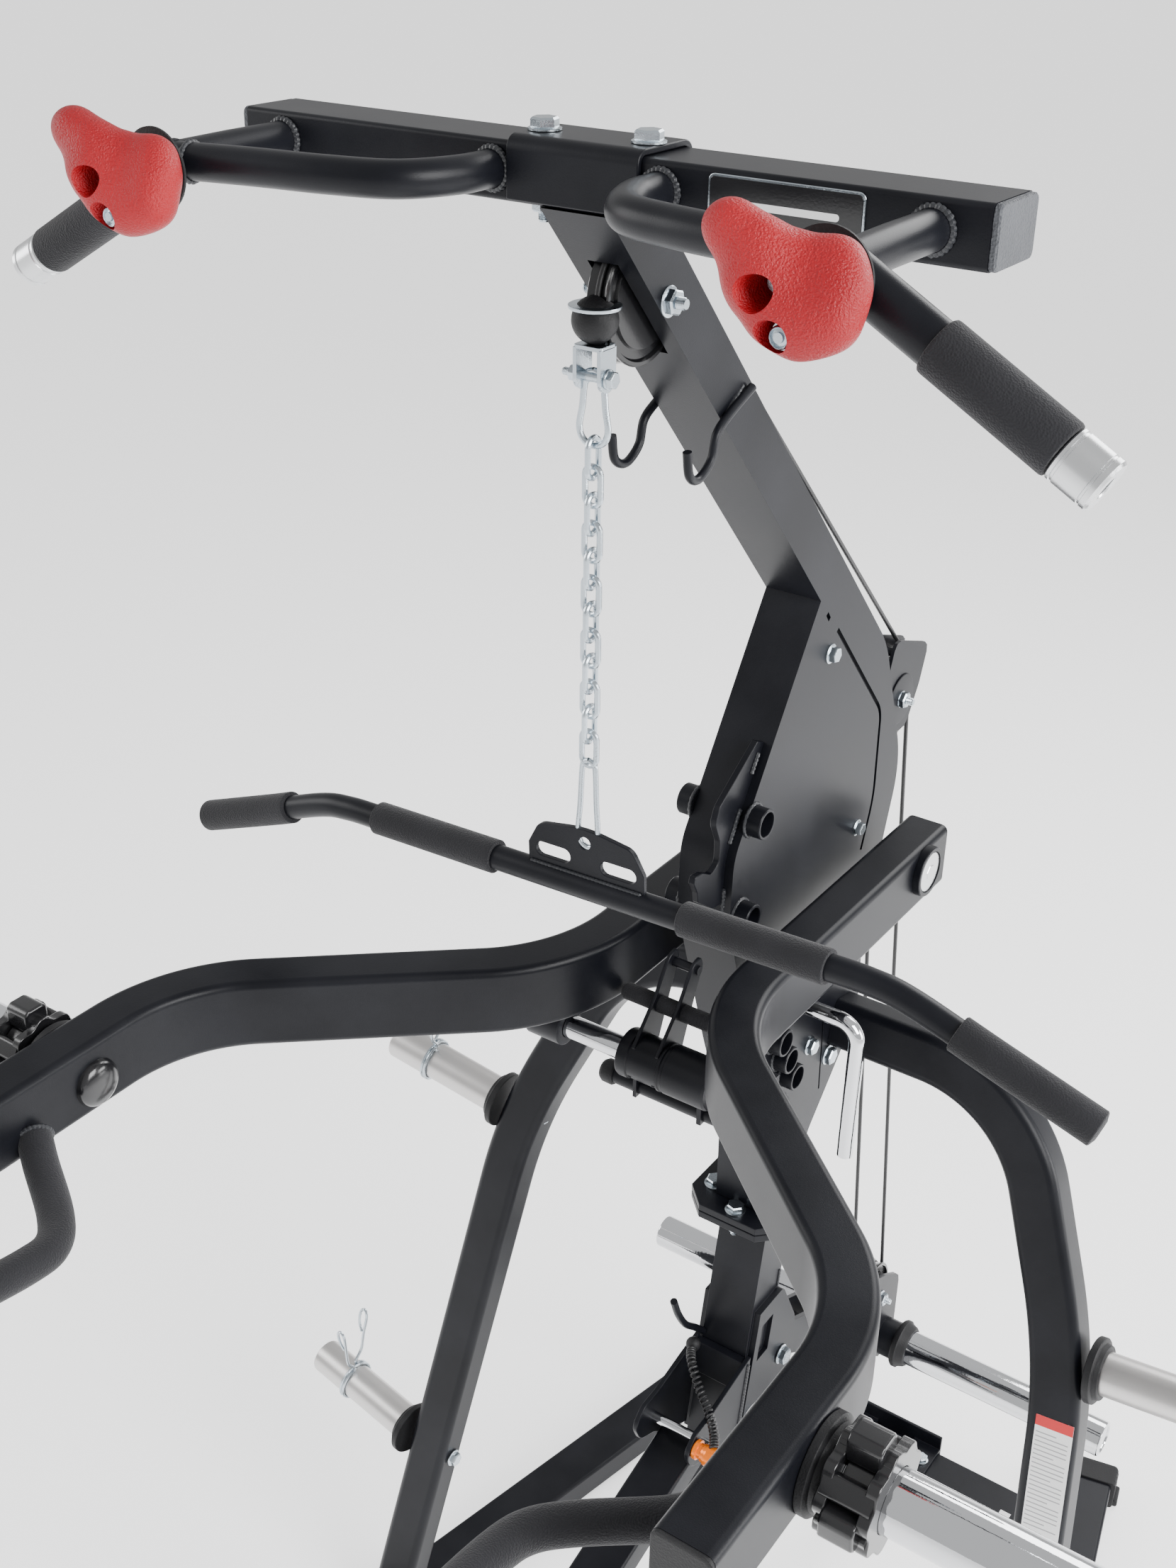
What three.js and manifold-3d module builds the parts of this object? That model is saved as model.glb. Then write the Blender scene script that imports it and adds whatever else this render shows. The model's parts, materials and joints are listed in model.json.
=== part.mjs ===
// A home functional trainer: a wide base, two splayed legs and a raked mast that carries
// a pull-up beam, a lat pull-down line with a weight lever, and a pair of press arms.
// Millimetres. +X to the right, +Y to the rear, +Z up. The floor is Z = 0.
import * as THREE from 'three';
import { mergeVertices } from 'three/addons/utils/BufferGeometryUtils.js';
import Module from 'manifold-3d';

const wasm = await Module();
wasm.setup();

// ---------------------------------------------------------------- driving dimensions
const FIT = 0.4; // air gap between neighbouring pieces

const RAIL = { width: 70, bottom: 6, top: 50, rearX: 289, rearY: 1070, frontX: 486, frontY: 146 };
const REAR_BEAM = { halfLength: 279, front: 876, rear: 946 };

const MAST_HALF = 31; // half width of the mast tube
const ARM_RAKE = THREE.MathUtils.degToRad(42); // upper mast, measured from vertical
const KINK = { y: 382, z: 1713 }; // front corner where the mast turns
const MAST_TOP = 2137.4;
const MAST_BOTTOM = 954.4;
const MAST_DEPTH_Y = 66; // upper mast, measured along Y

const BEAM = { halfLength: 323, depth: 62, bottom: 2138, top: 2182 };
const COLUMN = { front: 371, depth: 63, top: 933.6, foot: 500, lean: 0.1774 };
const FLANGE = { bottom: 934, top: 954, halfWidth: 64, front: 325, rear: 446 };

const LEG = { width: 60, depth: 50, planeY: 223, planeSlope: 0.257 };

const LAT_Y = 29; // the lat line hangs in this plane
const UPPER_PULLEY = { y: 84, z: 2062 };
const REAR_PULLEY = { y: 628, z: 1508 };
const LEVER_PULLEY = { y: 760, z: 500 };
const BALL_Z = 2054;
const GROOVE = 48; // cable radius on the two fixed pulleys
const LEVER_GROOVE = 42;
const CABLE_RADIUS = 2.5;

const LEVER_HINGE = { y: 416, z: 687 };
const SLEEVE_AXIS = { y: 786, z: 407 };

const PRESS_HINGE = { y: 528, z: 1363 };
const PRESS_ARM = { width: 50, bottom: 1318, top: 1393, rearX: 84, frontX: 379 };
const CROSS_SHAFT = { y: 150, z: 1284, radius: 12.4, halfLength: 102.5 };
const STOP_PIN = { y: 375, z: 1245, reach: 128, drop: 172 };
const DOCK_PIN = { y: 211, z: 704 };
const DOCK_PIVOT = { y: 235, z: 690 };
const PRESS_HORN = { y: -254, z: 1350, radius: 25, inner: 412.4, outer: 660 };

// ---------------------------------------------------------------- finishes
function finish(color, roughness, metalness) {
  return () => new THREE.MeshStandardMaterial({ color, roughness, metalness });
}
const powderCoat = finish(0x2b2d31, 0.5, 0.35);
const chrome = finish(0xd9dde2, 0.12, 1.0);
const zinc = finish(0xb9c2cc, 0.3, 0.9);
const rubber = finish(0x1b1c1e, 0.85, 0.0);
const foam = finish(0x26272a, 0.95, 0.0);
const aluminium = finish(0xbfc1c4, 0.35, 0.95);
const holdRed = finish(0xc9343f, 0.8, 0.0);
const nylon = finish(0x16171a, 0.45, 0.0);
const cableBlack = finish(0x202124, 0.6, 0.0);
const anodised = finish(0xd9772b, 0.35, 0.8);

// ---------------------------------------------------------------- shape helpers
function moved(geometry, x, y, z) {
  return geometry.translate(x, y, z);
}

function block(x0, x1, y0, y1, z0, z1) {
  const box = new THREE.BoxGeometry(x1 - x0, y1 - y0, z1 - z0);
  return moved(box, (x0 + x1) / 2, (y0 + y1) / 2, (z0 + z1) / 2);
}

function rod(radius, from, to, sides = 12) {
  const start = new THREE.Vector3(...from);
  const end = new THREE.Vector3(...to);
  const along = end.clone().sub(start);
  const geometry = new THREE.CylinderGeometry(radius, radius, along.length(), sides);
  const turn = new THREE.Quaternion();
  turn.setFromUnitVectors(new THREE.Vector3(0, 1, 0), along.clone().normalize());
  geometry.applyQuaternion(turn);
  const middle = start.add(end).multiplyScalar(0.5);
  return moved(geometry, middle.x, middle.y, middle.z);
}

// A bar along X, centred on (y, z).
function barX(radius, x0, x1, y, z, sides = 12) {
  return rod(radius, [x0, y, z], [x1, y, z], sides);
}

function outline(points) {
  return new THREE.Shape(points.map(([u, v]) => new THREE.Vector2(u, v)));
}

// A profile drawn in (Y, Z), given thickness along X from x0 to x1.
function plateX(points, x0, x1) {
  const geometry = new THREE.ExtrudeGeometry(outline(points), { depth: x1 - x0, bevelEnabled: false });
  const basis = new THREE.Matrix4();
  basis.makeBasis(new THREE.Vector3(0, 1, 0), new THREE.Vector3(0, 0, 1), new THREE.Vector3(1, 0, 0));
  geometry.applyMatrix4(basis);
  return moved(geometry, x0, 0, 0);
}

// A polyline whose inner corners are rounded with the given radii.
function rounded(corners, radii, arcSteps = 7) {
  const points = [corners[0]];
  for (let i = 1; i < corners.length - 1; i += 1) {
    const here = new THREE.Vector2(...corners[i]);
    const back = new THREE.Vector2(...corners[i - 1]).sub(here).normalize();
    const ahead = new THREE.Vector2(...corners[i + 1]).sub(here).normalize();
    const half = Math.acos(THREE.MathUtils.clamp(back.dot(ahead), -1, 1)) / 2;
    const reach = radii[i - 1] / Math.tan(half);
    const start = here.clone().addScaledVector(back, reach);
    const end = here.clone().addScaledVector(ahead, reach);
    const toCentre = back.clone().add(ahead).normalize();
    const centre = here.clone().addScaledVector(toCentre, radii[i - 1] / Math.sin(half));
    const first = start.clone().sub(centre).angle();
    let sweep = end.clone().sub(centre).angle() - first;
    if (sweep > Math.PI) {
      sweep -= 2 * Math.PI;
    }
    if (sweep < -Math.PI) {
      sweep += 2 * Math.PI;
    }
    for (let k = 0; k <= arcSteps; k += 1) {
      const angle = first + (sweep * k) / arcSteps;
      points.push([
        centre.x + radii[i - 1] * Math.cos(angle),
        centre.y + radii[i - 1] * Math.sin(angle),
      ]);
    }
  }
  points.push(corners[corners.length - 1]);
  return points;
}

// The closed outline of a strip of even width along a path.
function ribbon(path, width) {
  const left = [];
  const right = [];
  path.forEach(([u, v], i) => {
    const before = path[Math.max(i - 1, 0)];
    const after = path[Math.min(i + 1, path.length - 1)];
    const du = after[0] - before[0];
    const dv = after[1] - before[1];
    const length = Math.hypot(du, dv);
    const offsetU = (-dv / length) * (width / 2);
    const offsetV = (du / length) * (width / 2);
    left.push([u + offsetU, v + offsetV]);
    right.unshift([u - offsetU, v - offsetV]);
  });
  return left.concat(right);
}

// A round tube along a smooth run of points.
function tube(points, radius, steps, sides = 10, tension = 0.5) {
  const spots = points.map((p) => new THREE.Vector3(...p));
  const curve = new THREE.CatmullRomCurve3(spots, false, 'catmullrom', tension);
  const ring = [];
  for (let k = 0; k < sides; k += 1) {
    const angle = (2 * Math.PI * k) / sides;
    ring.push([radius * Math.cos(angle), radius * Math.sin(angle)]);
  }
  return new THREE.ExtrudeGeometry(outline(ring), { steps, extrudePath: curve, bevelEnabled: false });
}

// A turned piece on an axis along X: profile points are [x, radius] and the profile closes on itself.
function turnedX(profile, y, z, sides = 18) {
  const points = profile.map(([x, radius]) => new THREE.Vector2(radius, x));
  points.push(points[0].clone());
  const geometry = new THREE.LatheGeometry(points, sides);
  geometry.rotateZ(-Math.PI / 2);
  return moved(geometry, 0, y, z);
}

// ---------------------------------------------------------------- joining and cutting
function solid(geometry) {
  const bare = geometry.clone();
  bare.deleteAttribute('normal');
  bare.deleteAttribute('uv');
  const merged = mergeVertices(bare, 1e-3);
  const vertProperties = new Float32Array(merged.attributes.position.array);
  const corners = merged.index.array;
  const kept = [];
  for (let i = 0; i < corners.length; i += 3) {
    const [a, b, c] = [corners[i], corners[i + 1], corners[i + 2]];
    if (a !== b && b !== c && a !== c) {
      kept.push(a, b, c);
    }
  }
  const build = () => {
    const triVerts = Uint32Array.from(kept);
    return new wasm.Manifold(new wasm.Mesh({ numProp: 3, vertProperties, triVerts }));
  };
  const result = build();
  if (result.volume() > 0) {
    return result;
  }
  // An inside-out surface has every triangle turned over.
  for (let i = 0; i < kept.length; i += 3) {
    [kept[i], kept[i + 1]] = [kept[i + 1], kept[i]];
  }
  return build();
}

function join(...geometries) {
  return geometries.map(solid).reduce((whole, piece) => whole.add(piece));
}

function cut(whole, ...geometries) {
  return geometries.map(solid).reduce((rest, piece) => rest.subtract(piece), whole);
}

function surface(manifold) {
  const mesh = manifold.getMesh();
  const geometry = new THREE.BufferGeometry();
  const count = mesh.vertProperties.length / mesh.numProp;
  const positions = new Float32Array(count * 3);
  for (let i = 0; i < count; i += 1) {
    for (let k = 0; k < 3; k += 1) {
      positions[i * 3 + k] = mesh.vertProperties[i * mesh.numProp + k];
    }
  }
  geometry.setAttribute('position', new THREE.BufferAttribute(positions, 3));
  geometry.setIndex(new THREE.BufferAttribute(new Uint32Array(mesh.triVerts), 1));
  geometry.computeVertexNormals();
  return geometry;
}

const machine = new THREE.Group();

function piece(name, shape, material, parent = machine) {
  const geometry = shape.isBufferGeometry ? surface(solid(shape)) : surface(shape);
  const mesh = new THREE.Mesh(geometry, material());
  mesh.name = name;
  parent.add(mesh);
  return mesh;
}

const SIDES = [
  { label: 'left', sign: -1 },
  { label: 'right', sign: 1 },
];

// Mirrors a manifold to the left side.
function sided(manifold, sign) {
  return sign < 0 ? manifold.mirror([1, 0, 0]) : manifold;
}

// ---------------------------------------------------------------- base
// Each floor rail runs from the rear foot outwards to the front; its group sits on the rail's
// rear end and turns about Z so that local -Y runs along the rail.
function buildBase() {
  const length = Math.hypot(RAIL.frontX - RAIL.rearX, RAIL.rearY - RAIL.frontY);
  const splay = Math.atan2(RAIL.frontX - RAIL.rearX, RAIL.rearY - RAIL.frontY);
  const half = RAIL.width / 2;
  const capGrip = 34; // length of rail covered by a foot cap
  const capWall = 7;
  for (const { label, sign } of SIDES) {
    const group = new THREE.Group();
    group.position.set(sign * RAIL.rearX, RAIL.rearY, 0);
    group.rotation.z = sign * splay;
    machine.add(group);
    const rail = block(-half, half, -length, 0, RAIL.bottom, RAIL.top);
    piece(`base_rail_${label}`, rail, powderCoat, group);
    const ends = [
      { name: 'rear', inner: -capGrip, outer: capWall },
      { name: 'front', inner: -length + capGrip, outer: -length - capWall },
    ];
    for (const { name, inner, outer } of ends) {
      const low = Math.min(inner, outer);
      const high = Math.max(inner, outer);
      const shell = join(
        block(-half - capWall, half + capWall, low, high, 0, RAIL.top + 4),
        block(-half - 14, half + 14, low + 6, high, 0, 12),
      );
      const socketLow = name === 'rear' ? low - 1 : low + capWall - FIT;
      const socketHigh = name === 'rear' ? high - capWall + FIT : high + 1;
      const socket = block(
        -half - FIT, half + FIT, socketLow, socketHigh, RAIL.bottom - FIT, RAIL.top + FIT,
      );
      piece(`foot_cap_${name}_${label}`, cut(shell, socket), rubber, group);
    }
  }
  const beam = block(
    -REAR_BEAM.halfLength, REAR_BEAM.halfLength, REAR_BEAM.front, REAR_BEAM.rear, RAIL.bottom, RAIL.top,
  );
  piece('rear_cross_beam', beam, powderCoat);
}

// ---------------------------------------------------------------- column, spine and flange
function columnFront(z) {
  return COLUMN.front - (COLUMN.top - z) * COLUMN.lean;
}

function buildColumn() {
  const tubeProfile = [
    [columnFront(COLUMN.top), COLUMN.top],
    [columnFront(COLUMN.top) + COLUMN.depth, COLUMN.top],
    [columnFront(COLUMN.foot) + COLUMN.depth, COLUMN.foot],
    [columnFront(COLUMN.foot), COLUMN.foot],
  ];
  const column = solid(plateX(tubeProfile, -MAST_HALF, MAST_HALF));
  // Side plates that carry the lever's hinge bolt behind the column.
  const plateProfile = rounded([
    [columnFront(800) + 6, 800], [columnFront(800) + COLUMN.depth, 800],
    [448, 725], [448, 655], [columnFront(600) + COLUMN.depth, 600],
    [columnFront(600) + 6, 600],
  ], [10, 30, 22, 10], 3);
  const windowProfile = [
    [columnFront(775) + 18, 775], [columnFront(775) + 44, 775],
    [columnFront(725) + 44, 725], [columnFront(725) + 18, 725],
  ];
  let whole = column;
  for (const { sign } of SIDES) {
    const x0 = sign > 0 ? MAST_HALF - 1 : -MAST_HALF - 8;
    whole = whole.add(solid(plateX(plateProfile, x0, x0 + 9)));
    const pocketFrom = sign > 0 ? MAST_HALF + 2 : -MAST_HALF - 12;
    whole = cut(whole, plateX(windowProfile, pocketFrom, pocketFrom + 10));
  }
  whole = whole.add(solid(barX(8, -46, 46, LEVER_HINGE.y, LEVER_HINGE.z)));
  piece('lower_column', whole, powderCoat);

  const spineTop = 590;
  const spineProfile = [
    [columnFront(spineTop) + COLUMN.depth + FIT, spineTop],
    [columnFront(spineTop - 84) + COLUMN.depth + FIT, spineTop - 84],
    [874, RAIL.top + FIT],
    [944, RAIL.top + FIT],
  ];
  piece('spine_tube', plateX(spineProfile, -MAST_HALF, MAST_HALF), powderCoat);
  const lip = 78;
  const saddle = join(
    block(-lip, lip, REAR_BEAM.rear + FIT, REAR_BEAM.rear + 6, 14, RAIL.top + 30),
    block(-lip, -MAST_HALF - 2, REAR_BEAM.rear - 60, REAR_BEAM.rear + 5, RAIL.top + FIT, RAIL.top + 6),
    block(MAST_HALF + 2, lip, REAR_BEAM.rear - 60, REAR_BEAM.rear + 5, RAIL.top + FIT, RAIL.top + 6),
  );
  piece('rear_saddle_plate', saddle, powderCoat);

  const corner = 26;
  const middle = (FLANGE.front + FLANGE.rear) / 2;
  const plate = (grow, z0, z1) => {
    const w = FLANGE.halfWidth + grow;
    const d = (FLANGE.rear - FLANGE.front) / 2 + grow;
    const shape = outline([
      [-w, -d + corner], [-w + corner, -d], [w - corner, -d], [w, -d + corner],
      [w, d - corner], [w - corner, d], [-w + corner, d], [-w, d - corner],
    ]);
    const slab = new THREE.ExtrudeGeometry(shape, { depth: z1 - z0, bevelEnabled: false });
    return moved(slab, 0, middle, z0);
  };
  const bolts = [];
  for (const [x, y] of [[-42, 368], [42, 368], [-47, 412], [47, 412], [0, 340]]) {
    bolts.push(rod(9, [x, y, FLANGE.bottom - 8], [x, y, FLANGE.top + 8], 6));
  }
  const flange = join(
    plate(0, FLANGE.bottom, FLANGE.bottom + 9.5), plate(-1.5, FLANGE.bottom + 9, FLANGE.bottom + 11),
    plate(0, FLANGE.bottom + 10.5, FLANGE.top), ...bolts,
  );
  piece('column_flange', flange, powderCoat);
}

// ---------------------------------------------------------------- mast
function buildMast() {
  const rake = Math.tan(ARM_RAKE);
  const topFront = KINK.y - rake * (MAST_TOP - KINK.z);
  const profile = [
    [topFront, MAST_TOP], [KINK.y, KINK.z],
    ...rounded([
      [KINK.y - 4, KINK.z - 6], [238, 1487], [236, 1410], [302, 1210], [350, 1080], [352, MAST_BOTTOM],
    ], [60, 120, 200, 200], 4),
    [438, MAST_BOTTOM],
    ...rounded([[438, 975], [455, 1010], [560, 1120], [556, 1250], [612, 1440], [545, 1611],
      [topFront + MAST_DEPTH_Y, MAST_TOP]], [60, 60, 200, 120, 150], 5),
  ];
  let mast = solid(plateX(profile, -MAST_HALF, MAST_HALF));
  // Catch plate: a hooked strip on the front face, right of the middle.
  const catchProfile = [
    [310, 1586], [290, 1594], [219, 1549], [217, 1534], [226, 1512], [226, 1488], [214, 1482],
    [196, 1489], [184, 1490], [180, 1484], [187, 1471], [189, 1459], [218, 1437], [250, 1432],
  ];
  mast = mast.add(solid(plateX(catchProfile, 14, 21)));
  // Slots that let the two cable pulleys turn inside the mast.
  mast = cut(mast, barX(57, -14, 14, UPPER_PULLEY.y, UPPER_PULLEY.z, 20));
  mast = cut(mast, barX(62, -24, 24, REAR_PULLEY.y, REAR_PULLEY.z, 20));
  // Axle bolt of the upper pulley.
  mast = mast.add(solid(barX(7.6, -40, 40, UPPER_PULLEY.y, UPPER_PULLEY.z, 12)));
  for (const { sign } of SIDES) {
    mast = mast.add(solid(barX(11, sign * 30, sign * 38, UPPER_PULLEY.y, UPPER_PULLEY.z, 6)));
  }
  // Open sockets for accessories on both sides, and a row of four on the right.
  const sockets = [[-1, 270, 1518], [1, 270, 1518], [-1, 254, 1416], [1, 254, 1416]];
  for (const [y, z] of [[331, 1241], [349, 1207], [365, 1174], [383, 1140]]) {
    sockets.push([1, y, z]);
  }
  for (const [sign, y, z] of sockets) {
    mast = mast.add(solid(barX(16, sign * 24, sign * 48, y, z, 12)));
  }
  for (const [sign, y, z] of sockets) {
    mast = cut(mast, barX(12.5, sign * 22, sign * 60, y, z, 12));
  }
  // Bore for the stop pin of the press arms.
  mast = cut(mast, barX(9.6, -40, 40, STOP_PIN.y, STOP_PIN.z, 14));
  piece('mast', mast, powderCoat);
}

// ---------------------------------------------------------------- pull-up beam
function buildBeam() {
  const beam = block(-BEAM.halfLength, BEAM.halfLength, 0, BEAM.depth, BEAM.bottom, BEAM.top);
  piece('cross_beam', beam, powderCoat);
  const thick = 6;
  const half = 58;
  const low = BEAM.bottom + 2;
  const bolts = [-46, 46].map((x) => rod(9, [x, 27, BEAM.top + 2], [x, 27, BEAM.top + thick + 8], 6));
  const wrap = join(
    block(-half, half, -thick - FIT, BEAM.depth + thick + FIT, BEAM.top + FIT, BEAM.top + thick),
    block(-half, half, -thick - FIT, -FIT, low, BEAM.top + thick),
    block(-half, half, BEAM.depth + FIT, BEAM.depth + thick + FIT, low, BEAM.top + thick),
    ...bolts,
  );
  const inside = block(-half, half, -FIT, BEAM.depth + FIT, low, BEAM.top + FIT);
  piece('beam_bracket', cut(wrap, inside), powderCoat);

  for (const { label, sign } of SIDES) {
    const inner = BEAM.halfLength + FIT;
    const cap = block(inner, inner + 5, 0, BEAM.depth, BEAM.bottom, BEAM.top);
    piece(`beam_cap_${label}`, sided(solid(cap), sign), rubber);

    const y0 = -FIT;
    const innerRun = tube([[74, y0, 2161], [77, -40, 2161], [100, -80, 2161], [150, -97, 2161],
      [215, -108, 2161], [286, -119, 2160]], 14, 12, 10);
    const outerRun = rod(14, [283, y0, 2161], [283, -122, 2160], 12);
    const gripRun = rod(14, [276, -120, 2162], [446, -122, 2067], 12);
    const pad = rod(30, [280, -139.5, 2156], [280, -124, 2156], 14);
    const handle = cut(join(innerRun, outerRun, gripRun, pad), block(0, 400, y0, 80, 2100, 2220));
    piece(`pullup_handle_${label}`, sided(handle, sign), powderCoat);

    // Foam sleeve on the grip, then an aluminium end cap.
    const start = new THREE.Vector3(276, -120, 2162);
    const axis = new THREE.Vector3(446, -122, 2067).sub(start).normalize();
    const at = (d) => start.clone().addScaledVector(axis, d).toArray();
    const sleeve = cut(solid(rod(19, at(82), at(180), 14)), rod(14 + FIT, at(60), at(200), 12));
    piece(`pullup_grip_${label}`, sided(sleeve, sign), foam);
    const capEnd = cut(solid(rod(18, at(181), at(213), 14)), rod(14 + FIT, at(150), at(196), 12));
    piece(`grip_cap_${label}`, sided(capEnd, sign), aluminium);

    // Climbing hold: a rounded boulder with a flat back and a recessed bolt.
    const boulder = new THREE.SphereGeometry(1, 14, 9);
    boulder.scale(46, 44, 51);
    let hold = solid(moved(boulder, 278, -176, 2161));
    hold = cut(hold, block(200, 380, -140, -60, 2050, 2260));
    hold = cut(hold, rod(9, [281, -260, 2136], [281, -196, 2136], 10));
    hold = cut(hold, rod(8, [278, -260, 2170], [278, -200, 2170], 10));
    piece(`climbing_hold_${label}`, sided(hold, sign), holdRed);

    const hook = tube([[35.6, 214, 1966], [35.6, 176, 1950], [36, 157, 1938], [36, 150, 1918],
      [36, 131, 1907], [37, 115, 1914], [37, 110, 1936]], 4, 14, 6);
    piece(`hanger_hook_${label}`, sided(solid(hook), sign), powderCoat);
  }
}

// ---------------------------------------------------------------- pulleys and cable
function pulley(centre, groove, outer, bore) {
  const half = 10;
  return turnedX([
    [-half, bore], [-half, outer], [-half + 2, outer], [-1.6, groove - CABLE_RADIUS - 0.4],
    [1.6, groove - CABLE_RADIUS - 0.4], [half - 2, outer], [half, outer], [half, bore],
  ], centre.y, centre.z);
}

function buildPulleys() {
  piece('upper_pulley', pulley(UPPER_PULLEY, GROOVE + CABLE_RADIUS, 54, 8), nylon);
  piece('rear_pulley', pulley(REAR_PULLEY, GROOVE + CABLE_RADIUS, 54, 8), nylon);
  piece('lever_pulley', pulley(LEVER_PULLEY, LEVER_GROOVE + CABLE_RADIUS, 48, 8), nylon);

  const cheek = rounded([
    [602, 1474], [648, 1462], [676, 1510], [692, 1556], [604, 1588], [590, 1545],
  ], [20, 30, 12, 12], 2);
  const cheeks = [-1, 1].map((sign) => {
    const x0 = sign > 0 ? 12 : -16;
    return plateX(cheek, x0, x0 + 4);
  });
  const bracket = join(
    ...cheeks,
    barX(7.6, -22, 22, REAR_PULLEY.y, REAR_PULLEY.z, 12),
    barX(5, -16, 16, 606, 1572, 8),
    barX(5, -16, 16, 678, 1550, 8),
  );
  piece('rear_pulley_bracket', bracket, powderCoat);
}

// The lat cable leaves the ball stop, turns over the upper pulley, runs down behind the mast
// between the guide pins, turns over the rear pulley and drops towards the lever.
function buildCable() {
  const start = Math.PI; // front of the upper pulley
  const leave = THREE.MathUtils.degToRad(46);
  const radius = GROOVE + 2 * CABLE_RADIUS;
  const points = [[0, UPPER_PULLEY.y - radius, BALL_Z + 20]];
  const wrapSteps = 9;
  for (let k = 0; k <= wrapSteps; k += 1) {
    const angle = start + ((leave - start) * k) / wrapSteps;
    const y = UPPER_PULLEY.y + radius * Math.cos(angle);
    points.push([0, y, UPPER_PULLEY.z + radius * Math.sin(angle)]);
  }
  points.push([0, 360, 1848]);
  for (let k = 0; k <= 4; k += 1) {
    const angle = THREE.MathUtils.degToRad(40) + (THREE.MathUtils.degToRad(-33) * k) / 4;
    const y = REAR_PULLEY.y + radius * Math.cos(angle);
    points.push([0, y, REAR_PULLEY.z + radius * Math.sin(angle)]);
  }
  points.push([0, 740, 1000], [0, 786, 620]);
  piece('rear_cable', tube(points, CABLE_RADIUS, 60, 6, 0.4), cableBlack);
  piece('return_cable', rod(CABLE_RADIUS, [0, 640, 1180], [0, 704, 640], 8), cableBlack);
}

// ---------------------------------------------------------------- lat line
function chainLink(centreZ, turned) {
  const shape = outline([[-10, -19], [10, -19], [10, 19], [-10, 19]]);
  shape.holes.push(outline([[-5, -12], [5, -12], [5, 12], [-5, 12]]));
  const link = new THREE.ExtrudeGeometry(shape, { depth: 5, bevelEnabled: false });
  link.translate(0, 0, -2.5);
  link.rotateX(Math.PI / 2);
  if (turned) {
    link.rotateZ(Math.PI / 2);
  }
  return moved(link, 0, LAT_Y, centreZ);
}

const LAT_TILT = THREE.MathUtils.degToRad(2.3);

function buildLatLine() {
  const ball = cut(
    join(
      moved(new THREE.SphereGeometry(18.5, 12, 8), 0, LAT_Y, BALL_Z),
      rod(21, [0, LAT_Y, BALL_Z + 9], [0, LAT_Y, BALL_Z + 12], 16),
    ),
    barX(56, -11, 11, UPPER_PULLEY.y, UPPER_PULLEY.z, 24),
  );
  piece('ball_stop', ball, rubber);

  const links = [];
  const top = 1962;
  const pitch = 28.6;
  const count = 12;
  for (let k = 0; k < count; k += 1) {
    links.push(chainLink(top - k * pitch, k % 2 === 1));
  }
  const chain = join(
    rod(6, [0, LAT_Y, BALL_Z - 19], [0, LAT_Y, 2020], 8),
    block(-12, 12, LAT_Y - 10, LAT_Y + 10, 2018, 2023),
    block(-12, -8, LAT_Y - 10, LAT_Y + 10, 1996, 2021),
    block(8, 12, LAT_Y - 10, LAT_Y + 10, 1996, 2021),
    barX(5, -18, 18, LAT_Y, 2004, 10),
    block(-5, -1, LAT_Y - 3, LAT_Y + 3, 1970, 2006),
    block(1, 5, LAT_Y - 3, LAT_Y + 3, 1970, 2006),
    ...links,
    rod(3, [0, LAT_Y, 1634], [0, LAT_Y, 1606], 8),
  );
  piece('chain', chain, zinc);

  const group = new THREE.Group();
  group.position.set(0, LAT_Y, 1549);
  group.rotation.y = -LAT_TILT;
  machine.add(group);
  const tubeRun = tube([[-483, 0, -66], [-390, 0, -33], [-318, 0, -7], [-282, 0, -0.8], [-235, 0, 0],
    [-100, 0, 0], [0, 0, 0], [100, 0, 0], [235, 0, 0], [282, 0, -0.8], [318, 0, -7], [390, 0, -33],
    [483, 0, -66]], 12, 28, 10);
  const plate = outline([
    [-62, 6], [62, 6], [62, 26], [48, 44], [22, 55], [-22, 55], [-48, 44], [-62, 26],
  ]);
  const slot = (centre) => outline([
    [centre - 16, 19], [centre + 16, 19], [centre + 19, 26],
    [centre + 16, 33], [centre - 16, 33], [centre - 19, 26],
  ]);
  plate.holes.push(slot(-35), slot(35));
  const eye = new THREE.Path();
  eye.absarc(0, 44, 6, 0, 2 * Math.PI, true);
  plate.holes.push(eye);
  const plateSolid = new THREE.ExtrudeGeometry(plate, {
    depth: 5, bevelEnabled: false, curveSegments: 8,
  });
  plateSolid.translate(0, 0, -2.5);
  plateSolid.rotateX(Math.PI / 2);
  piece('lat_bar', join(tubeRun, plateSolid), powderCoat, group);
}

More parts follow.
